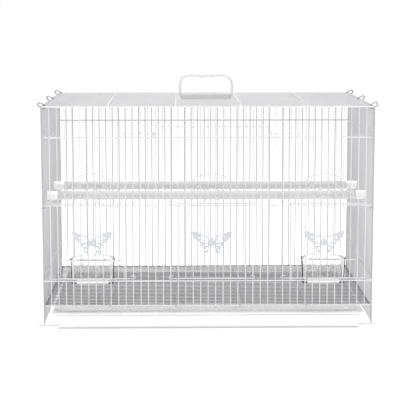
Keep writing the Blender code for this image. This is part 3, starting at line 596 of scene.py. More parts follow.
def front_wires(surface):
    shape = Shape()
    rails = ((FRONT_Y, TOP_RAIL_Z), (FRONT_Y, BASE_RAIL_Z), (INNER_Y, UPPER_RAIL_Z))
    rails += ((INNER_Y, MID_RAIL_Z), (SILL_Y, SILL_Z))
    for y, z in rails:
        shape.tube(along_x(y, z), RAIL_R)
    for number in FRONT_BARS:
        x = number * PITCH
        low = (x, FRONT_Y, BASE_RAIL_Z)
        high = (x, FRONT_Y, TOP_RAIL_Z)
        welds = [(FRONT_Y, TOP_RAIL_Z), (FRONT_Y + WIRE_R, UPPER_RAIL_Z), (FRONT_Y, BASE_RAIL_Z)]
        if is_cut(number):
            upper = [(x, INNER_Y, MID_RAIL_Z), (x, FRONT_Y, MID_RAIL_Z + END_BEND), high]
            lower = [low, (x, FRONT_Y, SILL_Z - END_BEND), (x, SILL_Y, SILL_Z)]
            for path in (upper, lower):
                shape.tube(bent(path, BEND_R), WIRE_R, BAR_SIDES)
            welds += [(INNER_Y, MID_RAIL_Z), (SILL_Y, SILL_Z)]
        else:
            shape.tube([low, high], WIRE_R, BAR_SIDES)
            welds += [(FRONT_Y + WIRE_R, MID_RAIL_Z), (FRONT_Y - WIRE_R, SILL_Z)]
        for y, z in welds:
            shape.bead((x, y, z), FRONT_WELD)
    cup_rails(shape)
    hanger(shape)
    placed(shape.made("front_wires", surface), "front_panel")


def cup_rails(shape):
    for side in ("left", "right"):
        middle = DOOR_CENTRES[side] * PITCH
        reach = CUP_RAIL_HALF_PITCHES * PITCH
        path = [
            (middle - reach, SILL_Y, SILL_Z),
            (middle - reach, INNER_Y, SILL_Z),
            (middle - reach, INNER_Y, CUP_RAIL_Z),
            (middle + reach, INNER_Y, CUP_RAIL_Z),
            (middle + reach, INNER_Y, SILL_Z),
            (middle + reach, SILL_Y, SILL_Z),
        ]
        shape.tube(bent(path, BEND_R), CUP_RAIL_R)


def hanger(shape):
    """The bent wire high on the inside of the front, with its short uprights and two eyes."""
    left, right = (reach * PITCH for reach in HANGER_REACH)
    step_left, step_right = (reach * PITCH for reach in HANGER_STEP)
    path = [
        (left, INNER_Y, UPPER_RAIL_Z),
        (left, INNER_Y, HANGER_LOW_Z),
        (step_left, INNER_Y, HANGER_LOW_Z),
        (step_left, INNER_Y, HANGER_HIGH_Z),
        (step_right, INNER_Y, HANGER_HIGH_Z),
        (step_right, INNER_Y, HANGER_LOW_Z),
        (right, INNER_Y, HANGER_LOW_Z),
        (right, INNER_Y, UPPER_RAIL_Z),
    ]
    shape.tube(bent(path, BEND_R), HANGER_R)
    for number in HANGER_BARS:
        x = number * PITCH
        shape.tube([(x, INNER_Y, UPPER_RAIL_Z), (x, INNER_Y, HANGER_HIGH_Z)], WIRE_R, BAR_SIDES)
    for centre_x in (step_left - HANGER_EYE_OUT, step_right + HANGER_EYE_OUT):
        ring = []
        for across, up in circle(HANGER_EYE_STEPS):
            ring.append((centre_x + HANGER_EYE_R * across, INNER_Y, HANGER_LOW_Z + HANGER_EYE_R * up))
        shape.tube(ring, WIRE_R, BAR_SIDES, closed=True)


def back_wires(surface):
    shape = Shape()
    for x in (-POST_X, POST_X):
        post(shape, x, REAR_Y, POST_BOTTOM_Z)
    for y, z in ((REAR_Y, TOP_RAIL_Z), (REAR_Y, BASE_RAIL_Z), (REAR_Y - RAIL_SET, UPPER_RAIL_Z)):
        shape.tube(along_x(y, z), RAIL_R)
    for number in FRONT_BARS:
        x = number * PITCH
        shape.tube([(x, REAR_Y, BASE_RAIL_Z), (x, REAR_Y, TOP_RAIL_Z)], WIRE_R, BAR_SIDES)
        for y, z in ((REAR_Y, TOP_RAIL_Z), (REAR_Y, BASE_RAIL_Z), (REAR_Y - WIRE_R, UPPER_RAIL_Z)):
            shape.bead((x, y, z), FRONT_WELD)
    placed(shape.made("back_wires", surface), "back_panel")


def side_wires(side, sign, surface):
    x = sign * POST_X
    inner_x = sign * (POST_X - RAIL_SET)
    shape = Shape()
    for y in (SIDE_FRONT_Y, SIDE_REAR_Y):
        post(shape, x, y, SIDE_FOOT_Z - POST_R)
    rails = [(x, TOP_RAIL_Z), (x, SIDE_FOOT_Z)]
    rails += [(inner_x, z) for z in (UPPER_RAIL_Z, SIDE_MID_Z, SIDE_LOWER_Z, GRATE_REST_Z)]
    for at_x, z in rails:
        shape.tube([(at_x, SIDE_FRONT_Y, z), (at_x, SIDE_REAR_Y, z)], RAIL_R)
    for number in SIDE_BARS:
        y = side_bar_y(number)
        shape.tube([(x, y, SIDE_FOOT_Z), (x, y, TOP_RAIL_Z)], WIRE_R, BAR_SIDES)
        for at_x, z in rails:
            weld_x = at_x if at_x == x else sign * (POST_X - WIRE_R)
            shape.bead((weld_x, y, z), SIDE_WELD)
    placed(shape.made("side_wires_" + side, surface), side + "_side_panel")


def grate_wires(place, node, bar_z, rail_z, surface, bar_surface):
    """The thin wires and edge wire of the top or the floor grate, and the cross bars over them."""
    shape = Shape()
    bars = Shape()
    front = FRONT_Y + FRAME_INSET
    rear = REAR_Y - FRAME_INSET
    corners = ((-FRAME_X, front), (FRAME_X, front), (FRAME_X, rear), (-FRAME_X, rear))
    edge = [(x, y, bar_z - EDGE_DROP) for x, y in corners]
    shape.tube(bent(edge, CORNER_BEND_R, closed=True), FRAME_R, THICK_SIDES, closed=True)
    wire_z = bar_z - CROSSING_DROP
    crossings = [number * PITCH for number in CROSSING_PITCHES]
    for number in SIDE_BARS:
        y = side_bar_y(number)
        shape.tube([(-FRAME_X, y, wire_z), (FRAME_X, y, wire_z)], WIRE_R, BAR_SIDES)
        for x in crossings:
            shape.bead((x, y, wire_z + WIRE_R), CROSSING_WELD)
        for x in (-FRAME_X, FRAME_X):
            shape.bead((x, y, wire_z), FRAME_WELD)
    for x in crossings:
        path = [
            (x, FRONT_Y - HOOK_OUT, rail_z - HOOK_DROP),
            (x, FRONT_Y - HOOK_OUT, bar_z),
            (x, REAR_Y + HOOK_OUT, bar_z),
            (x, REAR_Y + HOOK_OUT, rail_z - HOOK_DROP),
        ]
        bars.tube(bent(path, BEND_R), CROSSING_R, THICK_SIDES)
    placed(shape.made(place + "_wires", surface), node)
    placed(bars.made(place + "_cross_bars", bar_surface))


def foot_and_runner_wires(surface):
    shape = Shape()
    nodes = ("front_foot_wire", "rear_foot_wire", "tray_runner_left", "tray_runner_right")
    for node in nodes[:2]:
        low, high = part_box(node)
        y = (low.y + high.y) / 2
        shape.tube([(low.x, y, FOOT_WIRE_R), (high.x, y, FOOT_WIRE_R)], FOOT_WIRE_R)
    for node in nodes[2:]:
        low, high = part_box(node)
        x = (low.x + high.x) / 2
        shape.tube([(x, low.y, FOOT_WIRE_R), (x, high.y, FOOT_WIRE_R)], FOOT_WIRE_R)
    placed(shape.made("foot_wires", surface), *nodes)


# Clips that tie the panels together


def corner_clip(end, side, sign, surface):
    post_y, side_y = (FRONT_Y, SIDE_FRONT_Y) if end == "front" else (REAR_Y, SIDE_REAR_Y)
    centres = [(sign * POST_X, y, CLIP_Z) for y in (post_y, side_y)]
    reach = POST_R + CORNER_CLIP_CLEAR
    shape = Shape()
    shape.tube(link_path(*centres, reach, (1, 0, 0)), CLIP_R, closed=True)
    name = end + "_" + side
    placed(shape.made("link_" + name, surface), "corner_clip_" + name)


def top_clip(side, sign, place, number, surface):
    y = side_bar_y(number)
    edge = Vector((FRAME_X, y, TOP_BAR_Z - EDGE_DROP))
    outer = Vector((POST_X + TOP_CLIP_OUT, y, TOP_RAIL_Z + TOP_CLIP_UP))
    slope = outer - edge
    below = Vector((slope.z, 0, -slope.x)).normalized()
    inner = edge + below * TOP_CLIP_DROP
    across = Vector((outer.z - inner.z, 0, inner.x - outer.x))
    path = [(sign * p.x, p.y, p.z) for p in link_path(inner, outer, TOP_CLIP_REACH, across)]
    shape = Shape()
    shape.tube(path, CLIP_R, closed=True)
    name = side + "_" + place
    placed(shape.made("knob_" + name, surface), "top_clip_" + name)


# Doors


def guide_eye(middle, sign, z):
    """The path of the wire that runs round a door's guiding bar."""
    near = middle + DOOR_HALF * sign
    guide = middle + GUIDE_HALF * sign
    back = FRONT_Y + EYE_CLEAR
    turn = guide + EYE_TURN * sign
    return smooth(
        [
            (near, DOOR_Y, z),
            ((near + guide) / 2, DOOR_Y, z),
            (turn, DOOR_Y, z),
            (guide + EYE_OUT * sign, (DOOR_Y + back) / 2, z + EYE_RISE / 2),
            (turn, back, z + EYE_RISE),
            (guide - EYE_TAIL * sign, back, z + EYE_RISE),
        ]
    )


def door(side, surface):
    middle = DOOR_CENTRES[side] * PITCH
    left = middle - DOOR_HALF
    right = middle + DOOR_HALF
    rails = (DOOR_BOTTOM_Z, DOOR_TOP_Z)
    shape = Shape()
    for x in (left, right):
        shape.tube([(x, DOOR_Y, DOOR_FOOT_Z), (x, DOOR_Y, DOOR_TOP_Z + RAIL_R)], RAIL_R, THICK_SIDES)
    for z in rails:
        shape.tube([(left, DOOR_Y, z), (right, DOOR_Y, z)], RAIL_R, THICK_SIDES)
    for number in range(1, DOOR_PITCHES):
        x = left + number * PITCH
        shape.tube([(x, DOOR_Y, z) for z in rails], WIRE_R, BAR_SIDES)
        for z in rails:
            shape.bead((x, DOOR_Y, z), DOOR_WELD)
    for sign in (-1, 1):
        for z in rails:
            shape.tube(guide_eye(middle, sign, z), WIRE_R)
    for ring in range(1, FAN_ARCS + 1):
        radius = ring * PITCH
        path = []
        for across, up in arc(0, 1, FAN_STEPS + FAN_RING_STEPS * ring):
            path.append((middle + radius * across, DOOR_Y, DOOR_TOP_Z + radius * up))
        shape.tube(path, WIRE_R)
        for sign in (-1, 1):
            shape.bead((middle + sign * radius, DOOR_Y, DOOR_TOP_Z), DOOR_WELD)
    placed(shape.made("door_wires_" + side, surface), "door_" + side, body=side + "_door")


def butterfly(side, surface):
    left = [(-x, z) for x, z in reversed(BUTTERFLY_OUTLINE[1:-1])]
    outline = [(x, 0.0, z) for x, z in BUTTERFLY_OUTLINE + tuple(left)]
    outlines = [[(p.x, p.z) for p in smooth(outline, BUTTERFLY_STEPS, closed=True)]]
    for start, end, width in BUTTERFLY_SLOTS:
        across = (start[1] - end[1], 0, end[0] - start[0])
        centres = ((start[0], 0, start[1]), (end[0], 0, end[1]))
        path = link_path(*centres, width / 2, across, SLOT_STEPS)
        for sign in (-1, 1):
            outlines.append([(sign * p.x, p.z) for p in path])
    wings = plate("wings_" + side, outlines, BUTTERFLY_THICKNESS, BUTTERFLY_EDGE, surface)
    middle = Vector((DOOR_CENTRES[side] * PITCH, DOOR_Y - WIRE_R - GAP, BUTTERFLY_Z))
    wings.data.transform(Matrix.Translation(middle))
    placed(wings, "butterfly_" + side, body=side + "_door", slot="pale_enamel")
    shape = Shape()
    for sign in (-1, 1):
        path = smooth([(sign * x, -BUTTERFLY_THICKNESS / 2, z) for x, z in ANTENNA])
        shape.tube([Vector(point) + middle for point in path], ANTENNA_R, BAR_SIDES)
    placed(shape.made("feelers_" + side, surface), body=side + "_door", slot="pale_enamel")


# Cups


def cup_ring(width, depth, inset, out, z):
    """A D outline with small front corners, drawn in by inset or out at the sides and rear."""
    half = width / 2 - inset + out
    deep = depth - 2 * inset + out
    corner = max(CUP_CORNER - inset, CUP_LEAST_CORNER)
    y = inset + corner
    bend = []
    for across, up in arc(-0.5, 0, CUP_CORNER_STEPS)[:-1]:
        bend.append((half - corner + corner * across, y + corner * up, z))
    curve = [(half * across, y + (deep - corner) * up, z) for across, up in arc(0, 1, CUP_ARC_STEPS)]
    return bend + curve + [(-x, y, z) for x, y, z in reversed(bend)]


def cup_level(share, inset, out, z):
    """A ring part way from the cup's bottom to its top."""
    width = CUP_BOTTOM_WIDTH + share * (CUP_TOP_WIDTH - CUP_BOTTOM_WIDTH)
    depth = CUP_BOTTOM_DEPTH + share * (CUP_TOP_DEPTH - CUP_BOTTOM_DEPTH)
    return cup_ring(width, depth, inset, out, z)


def cup(side, surface):
    top = CUP_RIM_Z
    under = top - CUP_RIM_HEIGHT
    floor = CUP_BOTTOM_Z + CUP_WALL
    rim = edge_steps(CUP_RIM_EDGE)
    inner = reversed(edge_steps(CUP_INNER_EDGE))
    rings = [cup_level(0, inset, 0, CUP_BOTTOM_Z + drop) for inset, drop in edge_steps(CUP_BASE_EDGE)]
    rings.append(cup_level(1, 0, 0, under))
    rings += [cup_level(1, 0, CUP_RIM_OUT - inset, under + drop) for inset, drop in rim]
    rings += [cup_level(1, 0, CUP_RIM_OUT - inset, top - drop) for inset, drop in reversed(rim)]
    rings += [cup_level(1, CUP_WALL - CUP_RIM_EDGE + drop, 0, top - drop) for drop in (0, CUP_RIM_EDGE)]
    rings += [cup_level(0, CUP_WALL + inset, 0, floor + drop) for inset, drop in inner]
    shape = Shape()
    shape.rings(rings)
    hook_top = top - CUP_HOOK_SINK
    hook_under = top - CUP_HOOK_WALL
    hook_front = -CUP_HOOK_OUT - CUP_HOOK_WALL
    hook = [
        (CUP_WALL / 2, hook_top),
        (hook_front, hook_top),
        (hook_front, CUP_HOOK_LOW_Z),
        (-CUP_HOOK_OUT, CUP_HOOK_LOW_Z),
        (-CUP_HOOK_OUT, hook_under),
        (CUP_WALL / 2, hook_under),
    ]
    shape.rings([[(x, y, z) for y, z in hook] for x in (-CUP_HOOK_HALF, CUP_HOOK_HALF)])
    piece = shape.made("clear_cup_" + side, surface, CUP_SHARP_ANGLE)
    piece.data.transform(Matrix.Translation((DOOR_CENTRES[side] * PITCH, CUP_FRONT_Y, 0)))
    placed(piece, "cup_" + side, body=side + "_cup", slot="clear_plastic")


def cup_highlight_pad(side, surface):
    """The frosted white pad low on the outside of a cup, which rests against the front wires; it paints
    a highlight, standing in for the bright strip low on the cup's front.
    """
    shape = Shape()
    low = CUP_BOTTOM_Z + CUP_WALL / 2
    middle = (DOOR_CENTRES[side] * PITCH, CUP_FRONT_Y - CUP_PAD_OUT / 2, low + CUP_PAD_HEIGHT / 2)
    shape.block(middle, (CUP_HOOK_HALF, CUP_PAD_OUT / 2, CUP_PAD_HEIGHT / 2), CUP_PAD_EDGE)
    placed(shape.made("highlight_pad_" + side, surface), body=side + "_cup", slot="clear_plastic")


# Tray


def tray_ring(half, front, rear, z, inset=0.0):
    """A rectangle with rounded corners, drawn in by inset, at height z."""
    middle = (front + rear) / 2
    corner = max(TRAY_CORNER - inset, TRAY_LEAST_CORNER)
    plan = rectangle(half - inset, (rear - front) / 2 - inset, corner, TRAY_CORNER_STEPS)
    return [(x, middle + y, z) for x, y in plan]


def tray(surface):
    basin_front = TRAY_FACE_Y + TRAY_LEDGE
    basin_rear = TRAY_REAR_Y - TRAY_RIM_OUT
    top_half = TRAY_RIM_HALF - TRAY_RIM_OUT
    rim = (TRAY_RIM_HALF, TRAY_FACE_Y, TRAY_REAR_Y)
    mouth = (top_half, basin_front, basin_rear)
    floor = (top_half - TRAY_SLOPE, basin_front + TRAY_SLOPE, basin_rear - TRAY_SLOPE)
    low = TRAY_BOTTOM_Z
    inside = low + TRAY_WALL
    top = TRAY_RIM_Z
    under = top - TRAY_WALL
    edge = edge_steps(TRAY_RIM_EDGE)
    inner = reversed(edge_steps(TRAY_INNER_EDGE))
    rings = [tray_ring(*floor, low + drop, inset) for inset, drop in edge_steps(TRAY_BASE_EDGE)]
    rings.append(tray_ring(*mouth, under))
    rings += [tray_ring(*rim, under + drop, inset) for inset, drop in edge]
    rings += [tray_ring(*rim, top - drop, inset) for inset, drop in reversed(edge)]
    rings += [tray_ring(*mouth, top - drop, TRAY_WALL + lean) for lean, drop in TRAY_LIP]
    rings += [tray_ring(*floor, inside + drop, TRAY_WALL + inset) for inset, drop in inner]
    shape = Shape()
    shape.rings(rings)
    tray_skirt(shape, top_half)
    piece = shape.made("slide_out_tray", surface, TRAY_SHARP_ANGLE)
    placed(piece, "tray", body="pull_out_tray", slot="tray_plastic")


def tray_skirt(shape, top_half):
    """The face below the ledge, with a short return at each side, narrower at the bottom."""
    face = TRAY_FACE_Y + TRAY_SKIRT_SET
    back = face + TRAY_SKIRT_RETURN
    high = TRAY_RIM_Z - TRAY_WALL / 2
    low = TRAY_SKIRT_Z
    groove = TRAY_RIM_Z - TRAY_WALL - LIP_GROOVE_HEIGHT
    levels = [(inset, low + drop, 0.0) for inset, drop in edge_steps(TRAY_SKIRT_EDGE)]
    levels += [(0.0, groove, 0.0), (0.0, groove + LIP_GROOVE_SLANT, LIP_GROOVE_DEPTH)]
    levels.append((0.0, high, LIP_GROOVE_DEPTH))
    rings = []
    for inset, z, set_back in levels:
        front = face + set_back
        half = top_half - TRAY_SLOPE * (high - z) / (high - low)
        outer = [(-half, back), (-half, front), (half, front), (half, back)]
        inner = [(-half + TRAY_WALL, back), (-half + TRAY_WALL, front + TRAY_WALL)]
        inner += [(half - TRAY_WALL, front + TRAY_WALL), (half - TRAY_WALL, back)]
        outer = bent([(x, y, z) for x, y in outer], TRAY_FACE_CORNER)
        inner = bent([(x, y, z) for x, y in inner], TRAY_FACE_CORNER - TRAY_WALL)
        ring = []
        for a, b in zip(outer, inner):
            ring.append(a.lerp(b, inset / TRAY_WALL))
        for a, b in reversed(list(zip(outer, inner))):
            ring.append(b.lerp(a, inset / TRAY_WALL))
        rings.append(ring)
    shape.rings(rings)


# Perches


def perch(place, rod_surface, cap_surface):
    y = side_bar_y(PERCH_BARS[place])
    mouth = PERCH_CAP_END - PERCH_CAP_LENGTH
    shoulder = mouth - GAP
    tip = shoulder + PERCH_TENON_LENGTH
    profile = [(-tip, PERCH_TENON_R), (-shoulder, PERCH_TENON_R), (-shoulder, PERCH_R - FINE_EDGE)]
    profile.append((-shoulder + FINE_EDGE, PERCH_R))
    profile += [(-x, r) for x, r in reversed(profile)]
    shape = Shape()
    shape.turned(profile, ROD_SIDES, y, PERCH_Z)
    placed(shape.made("rod_" + place, rod_surface), "perch_" + place, slot="perch_plastic")
    bore_r = PERCH_TENON_R + GAP
    profile = [(mouth + PERCH_TENON_LENGTH + GAP, bore_r), (mouth, bore_r)]
    profile += [(mouth + drop, PERCH_CAP_R - inset) for inset, drop in edge_steps(CAP_MOUTH_EDGE)]
    end = reversed(edge_steps(CAP_END_EDGE))
    profile += [(PERCH_CAP_END - drop, PERCH_CAP_R - inset) for inset, drop in end]
    slot_start = POST_X - WIRE_R - GAP
    slot_half = (PERCH_CAP_END - POST_X + PERCH_SLOT_PAST) / 2
    for side, sign in (("left", -1), ("right", 1)):
        name = place + "_" + side
        shape = Shape()
        shape.turned([(sign * x, radius) for x, radius in profile], CAP_SIDES, y, PERCH_Z)
        cap = shape.made("end_cap_" + name, cap_surface)
        slot = Shape()
        middle = (sign * (slot_start + slot_half), y, PERCH_Z)
        slot.block(middle, (slot_half, PERCH_SLOT_HALF, PERCH_SLOT_REACH), FINE_EDGE)
        cut_away(cap, slot.made("slot", cap_surface))
        placed(cap, "perch_cap_" + name, slot="cap_plastic")


# Handle


def handle_outlines():
    """The handle's outline about its hinge, over the top and back along the wavy inner edge."""
    inner_half = HANDLE_HALF - HANDLE_THICKNESS
    inner_r = HANDLE_CORNER - HANDLE_THICKNESS
    inner_foot = HANDLE_FOOT_SLANT - HANDLE_FOOT_R
    centre_x = HANDLE_HALF - HANDLE_CORNER
    centre_z = HANDLE_HEIGHT - HANDLE_CORNER
    foot = []
    for across, up in arc(-0.5, 0, HANDLE_FOOT_STEPS):
        foot.append((HANDLE_HALF - HANDLE_FOOT_R + HANDLE_FOOT_R * across, HANDLE_FOOT_R * up))
    outer = list(foot)
    inner = [(inner_half, inner_foot)]
    for sign, turn in ((1, 0.0), (-1, 0.5)):
        for across, up in arc(turn, turn + 0.5, HANDLE_CORNER_STEPS):
            outer.append((sign * centre_x + HANDLE_CORNER * across, centre_z + HANDLE_CORNER * up))
            inner.append((sign * centre_x + inner_r * across, centre_z + inner_r * up))
        if sign == 1:
            for step in range(1, HANDLE_WAVE_STEPS):
                x = centre_x * (1 - 2 * step / HANDLE_WAVE_STEPS)
                wave = math.sin(math.pi * x / HANDLE_WAVE) ** 2
                fade = math.cos(math.pi * x / centre_x / 2) ** 2
                inner.append((x, HANDLE_HEIGHT - HANDLE_THICKNESS - HANDLE_SWELL * wave * fade))
    outer += [(-x, z) for x, z in reversed(foot)]
    inner.append((-inner_half, inner_foot))
    return [outer + inner[::-1]]


def handle(surface):
    grip = plate("grip", handle_outlines(), HANDLE_DEPTH, HANDLE_EDGE, surface)
    grip.data.transform(Matrix.Translation((0, HINGE_Y + HANDLE_DEPTH / 2, HINGE_Z)))
    end = HANDLE_HALF + DRILL_PAST
    drill = Shape()
    drill.turned([(-end, PIN_R + GAP), (end, PIN_R + GAP)], DRILL_SIDES, HINGE_Y, HINGE_Z)
    cut_away(grip, drill.made("drill", surface))
    placed(grip, "handle", body="carrying_handle", slot="handle_plastic")


def base_tab(shape):
    """The half-round thumb tab on the front of the bar, over its groove."""
    middle = HINGE_Z + BASE_GROOVE_UP
    foot = middle - 2 * BASE_GROOVE
    rings = []
    for inset, drop in edge_steps(FINE_EDGE) + [(0.0, BASE_TAB_OUT + 2 * BASE_GROOVE)]:
        y = HINGE_Y - BASE_HALF_DEPTH - BASE_TAB_OUT + drop
        radius = BASE_TAB_R - inset
        ring = [(radius, y, foot + inset)]
        ring += [(radius * across, y, middle + radius * up) for across, up in arc(0, 1, BASE_TAB_STEPS)]
        ring.append((-radius, y, foot + inset))
        rings.append(ring)
    shape.rings(rings)


def handle_base(surface):
    shape = Shape()
    half = HANDLE_HALF - HANDLE_THICKNESS - GAP
    levels = [(inset, drop - BASE_HALF_HEIGHT) for inset, drop in edge_steps(BASE_EDGE)]
    for turn in BASE_GROOVE_TURNS:
        levels.append((BASE_GROOVE * math.cos(math.pi / 2 * turn), BASE_GROOVE_UP + BASE_GROOVE * turn))
    levels += [(inset, BASE_HALF_HEIGHT - drop) for inset, drop in reversed(edge_steps(BASE_EDGE))]
    rings = []
    for inset, z in levels:
        plan = rectangle(half - inset, BASE_HALF_DEPTH - inset, BASE_EDGE)
        rings.append([(x, HINGE_Y + y, HINGE_Z + z) for x, y in plan])
    shape.rings(rings)
    base_tab(shape)
    tip = HANDLE_HALF - PIN_END
    pin = [(half - PIN_ROOT, PIN_R), (tip - PIN_EDGE, PIN_R), (tip, PIN_R - PIN_EDGE)]
    lug_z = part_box("handle_base")[0].z
    lug_half = (HINGE_Z - lug_z) / 2
    lip_half = (SIDE_PITCH / 2 + LUG_LIP) / 2
    for sign in (-1, 1):
        shape.turned([(sign * x, r) for x, r in pin], PIN_SIDES, HINGE_Y, HINGE_Z)
        lug = (sign * LUG_X, HINGE_Y, lug_z + lug_half)
        shape.block(lug, (LUG_HALF_WIDTH, LUG_HALF_THICKNESS, lug_half), FINE_EDGE)
        lip = (sign * LUG_X, HINGE_Y + sign * lip_half, lug_z + LUG_LIP_HALF_HEIGHT)
        shape.block(lip, (LUG_HALF_WIDTH, lip_half, LUG_LIP_HALF_HEIGHT), FINE_EDGE)
    placed(shape.made("base_bar", surface), "handle_base", slot="handle_plastic")


# Materials

POWDER = (0.36, 1400.0, 0.00003)
LOOKS = {  # colour, roughness, grain per metre and its depth, drift of tone, metal
    "powder_coat": ((0.59, 0.59, 0.60), *POWDER),
    # lighter copy of powder_coat: painted light on the front wires, as if lit by the front lamps
    "front_painted_light_powder_coat": ((0.72, 0.72, 0.73), *POWDER),
    # lighter copy of powder_coat: painted light on the door wires
    "door_painted_light_powder_coat": ((0.64, 0.64, 0.65), *POWDER),
    # darker copy of powder_coat: painted shade on the back wires, the front posts and the floor grate's
    # cross bars
    "rear_painted_shade_powder_coat": ((0.46, 0.46, 0.47), *POWDER),
    # near-white copy of powder_coat: painted highlight on the top panel's cross bars, as if lit from
    # above
    "top_bar_painted_highlight_powder_coat": ((0.92, 0.92, 0.92), *POWDER),
    "butterfly_enamel": ((0.57, 0.588, 0.62), 0.34, 1100.0, 0.00003),
    "tray_moulding": ((0.95, 0.95, 0.95), 0.22, 300.0, 0.00001),
    "perch_texture": ((0.65, 0.65, 0.65), 0.62, 900.0, 0.0003, 0.05),
    "cap_moulding": ((0.90, 0.90, 0.90), 0.22, 500.0, 0.00002),
    "handle_moulding": ((0.84, 0.84, 0.84), 0.26, 500.0, 0.00002),
    # very dark copy of powder_coat: painted shade on the floor grate's wires
    "grate_painted_shade_powder_coat": ((0.21, 0.21, 0.22), 0.40, 1400.0, 0.00003),
    # darker copy of the handle's moulding: painted shade on the handle's base bar
    "base_bar_painted_shade_moulding": ((0.70, 0.69, 0.67), 0.34, 500.0, 0.00002),
    # the top clips are given a dark, partly metallic finish, darker than the wires they tie
    "dark_clip_metal": ((0.36, 0.36, 0.37), 0.42, 1600.0, 0.00003, 0.06, 0.7),
    # white frosted pad: painted highlight, standing in for the bright strip low on each cup's front
    "highlight_pad_moulding": ((0.98, 0.98, 0.98), 0.45, 1600.0, 0.00004, 0.005),
    "clear_moulding": ((0.985, 0.985, 0.985), 0.07, 160.0, 0.00001, 0.005),
}
USUAL_DRIFT = 0.02
DRIFT_SCALE = 9.0
DRIFT_DETAIL = 3.0
GRAIN_DETAIL = 4.0
GRAIN_STRENGTH = 0.5
NOISE_RANGE = (0.3, 0.7)  # most of a noise's values
GLOSS_BELOW = 0.06
GLOSS_ABOVE = 0.08
SEE_THROUGH = {"Transmission Weight": 1.0, "IOR": 1.22}
SCATTERING = {"Subsurface Weight": 1.0, "Subsurface Radius": (1, 1, 1), "Subsurface Scale": 0.0015}


def set_inputs(node, values):
    """Sets some inputs of a shader node and gives the node back."""
    for socket, value in values.items():
        node.inputs[socket].default_value = value
    return node


def surface_of(name, colour, roughness, grain, depth, spread=USUAL_DRIFT, metallic=0.0):
    """A painted or moulded surface with a fine grain, uneven gloss and a slight drift of tone."""
    made = bpy.data.materials.new(name)
    made.use_nodes = True
    nodes, links = made.node_tree.nodes, made.node_tree.links
    shader = set_inputs(nodes["Principled BSDF"], {"Metallic": metallic})
    place = nodes.new("ShaderNodeTexCoord")
    drift = set_inputs(nodes.new("ShaderNodeTexNoise"), {"Scale": DRIFT_SCALE, "Detail": DRIFT_DETAIL})
    links.new(place.outputs["Object"], drift.inputs["Vector"])
    tone = nodes.new("ShaderNodeValToRGB")
    for stop, at, share in zip(tone.color_ramp.elements, NOISE_RANGE, (1 - spread, 1 + spread)):
        stop.position = at
        stop.color = (*[min(1, part * share) for part in colour], 1)
    links.new(drift.outputs["Fac"], tone.inputs["Fac"])
    links.new(tone.outputs["Color"], shader.inputs["Base Color"])
    fine = set_inputs(nodes.new("ShaderNodeTexNoise"), {"Scale": grain, "Detail": GRAIN_DETAIL})
    links.new(place.outputs["Object"], fine.inputs["Vector"])
    low, high = NOISE_RANGE
    gloss = set_inputs(nodes.new("ShaderNodeMapRange"), {"From Min": low, "From Max": high})
    set_inputs(gloss, {"To Min": roughness - GLOSS_BELOW, "To Max": roughness + GLOSS_ABOVE})
    links.new(fine.outputs["Fac"], gloss.inputs["Value"])
    links.new(gloss.outputs["Result"], shader.inputs["Roughness"])
    bump = set_inputs(nodes.new("ShaderNodeBump"), {"Strength": GRAIN_STRENGTH, "Distance": depth})
    links.new(fine.outputs["Fac"], bump.inputs["Height"])
    links.new(bump.outputs["Normal"], shader.inputs["Normal"])
    return made


def surfaces():
    """Every material, by its name."""
    made = {name: surface_of(name, *look) for name, look in LOOKS.items()}
    for name, values in (("clear_moulding", SEE_THROUGH), ("highlight_pad_moulding", SCATTERING)):
        set_inputs(made[name].node_tree.nodes["Principled BSDF"], values)
    return made


# Stage, light and camera

FLOOR_HALF = 30.0
FLOOR_LEVELS = (-0.02, -0.00001)
PAPER = {
    "Base Color": (0.5, 0.5, 0.5, 1),
    "Roughness": 0.9,
    "Specular IOR Level": 0.0,
    "Emission Color": (1, 1, 1, 1),
}
# painted contact shadow: the floor glows less in these patches, under the cage and in a thin strip in
# front of the tray's face
PAINTED_SHADOW_PATCHES = (  # half width, half depth and middle of the dimmer floor, at the cage and the tray
    (0.255, 0.196, 0.0),
    (TRAY_RIM_HALF - TRAY_RIM_OUT - TRAY_SLOPE, 0.004, TRAY_FACE_Y),
)
GLOW_WITH_PAINTED_SHADOW = {"From Min": 0.0, "From Max": 0.012, "To Min": 0.30, "To Max": 0.80}  # by distance outside those
SKY_SHADES = ((0.0, 1.0), (0.02, 1.0), (0.05, 0.22), (0.55, 0.26), (1.0, 0.70))  # sine of height, shade
LIGHTS = (  # name, place, aim, width, height and power
    ("overhead", (0.0, 0.1, 3.0), (0.0, 0.05, 0.2), 2.0, 2.0, 76.0),
    ("left_strip", (-0.62, -0.75, 0.25), (0.0, -0.19, 0.22), 0.2, 0.6, 1.8),
    ("right_strip", (0.62, -0.75, 0.25), (0.0, -0.19, 0.22), 0.2, 0.6, 1.8),
)
CAMERA_PLACE = (-0.05437, -2.81312, 0.58937)
CAMERA_TILT = 0.14028  # downwards, in radians
CAMERA_TURN = -0.02062
CAMERA_LENS = 125.1
CAMERA_SENSOR = 36.0
CAMERA_REACH = 100.0


def distance_outside(nodes, links, split, half_x, half_y, centre_y):
    """How far a point lies outside a rectangle on the floor."""
    outside = nodes.new("ShaderNodeMath")
    outside.operation = "MAXIMUM"
    for at, (axis, half, centre) in enumerate((("X", half_x, 0.0), ("Y", half_y, centre_y))):
        last = split.outputs[axis]
        for operation, value in (("SUBTRACT", centre), ("ABSOLUTE", 0.0), ("SUBTRACT", half)):
            node = set_inputs(nodes.new("ShaderNodeMath"), {1: value})
            node.operation = operation
            links.new(last, node.inputs[0])
            last = node.outputs["Value"]
        links.new(last, outside.inputs[at])
    return outside.outputs["Value"]


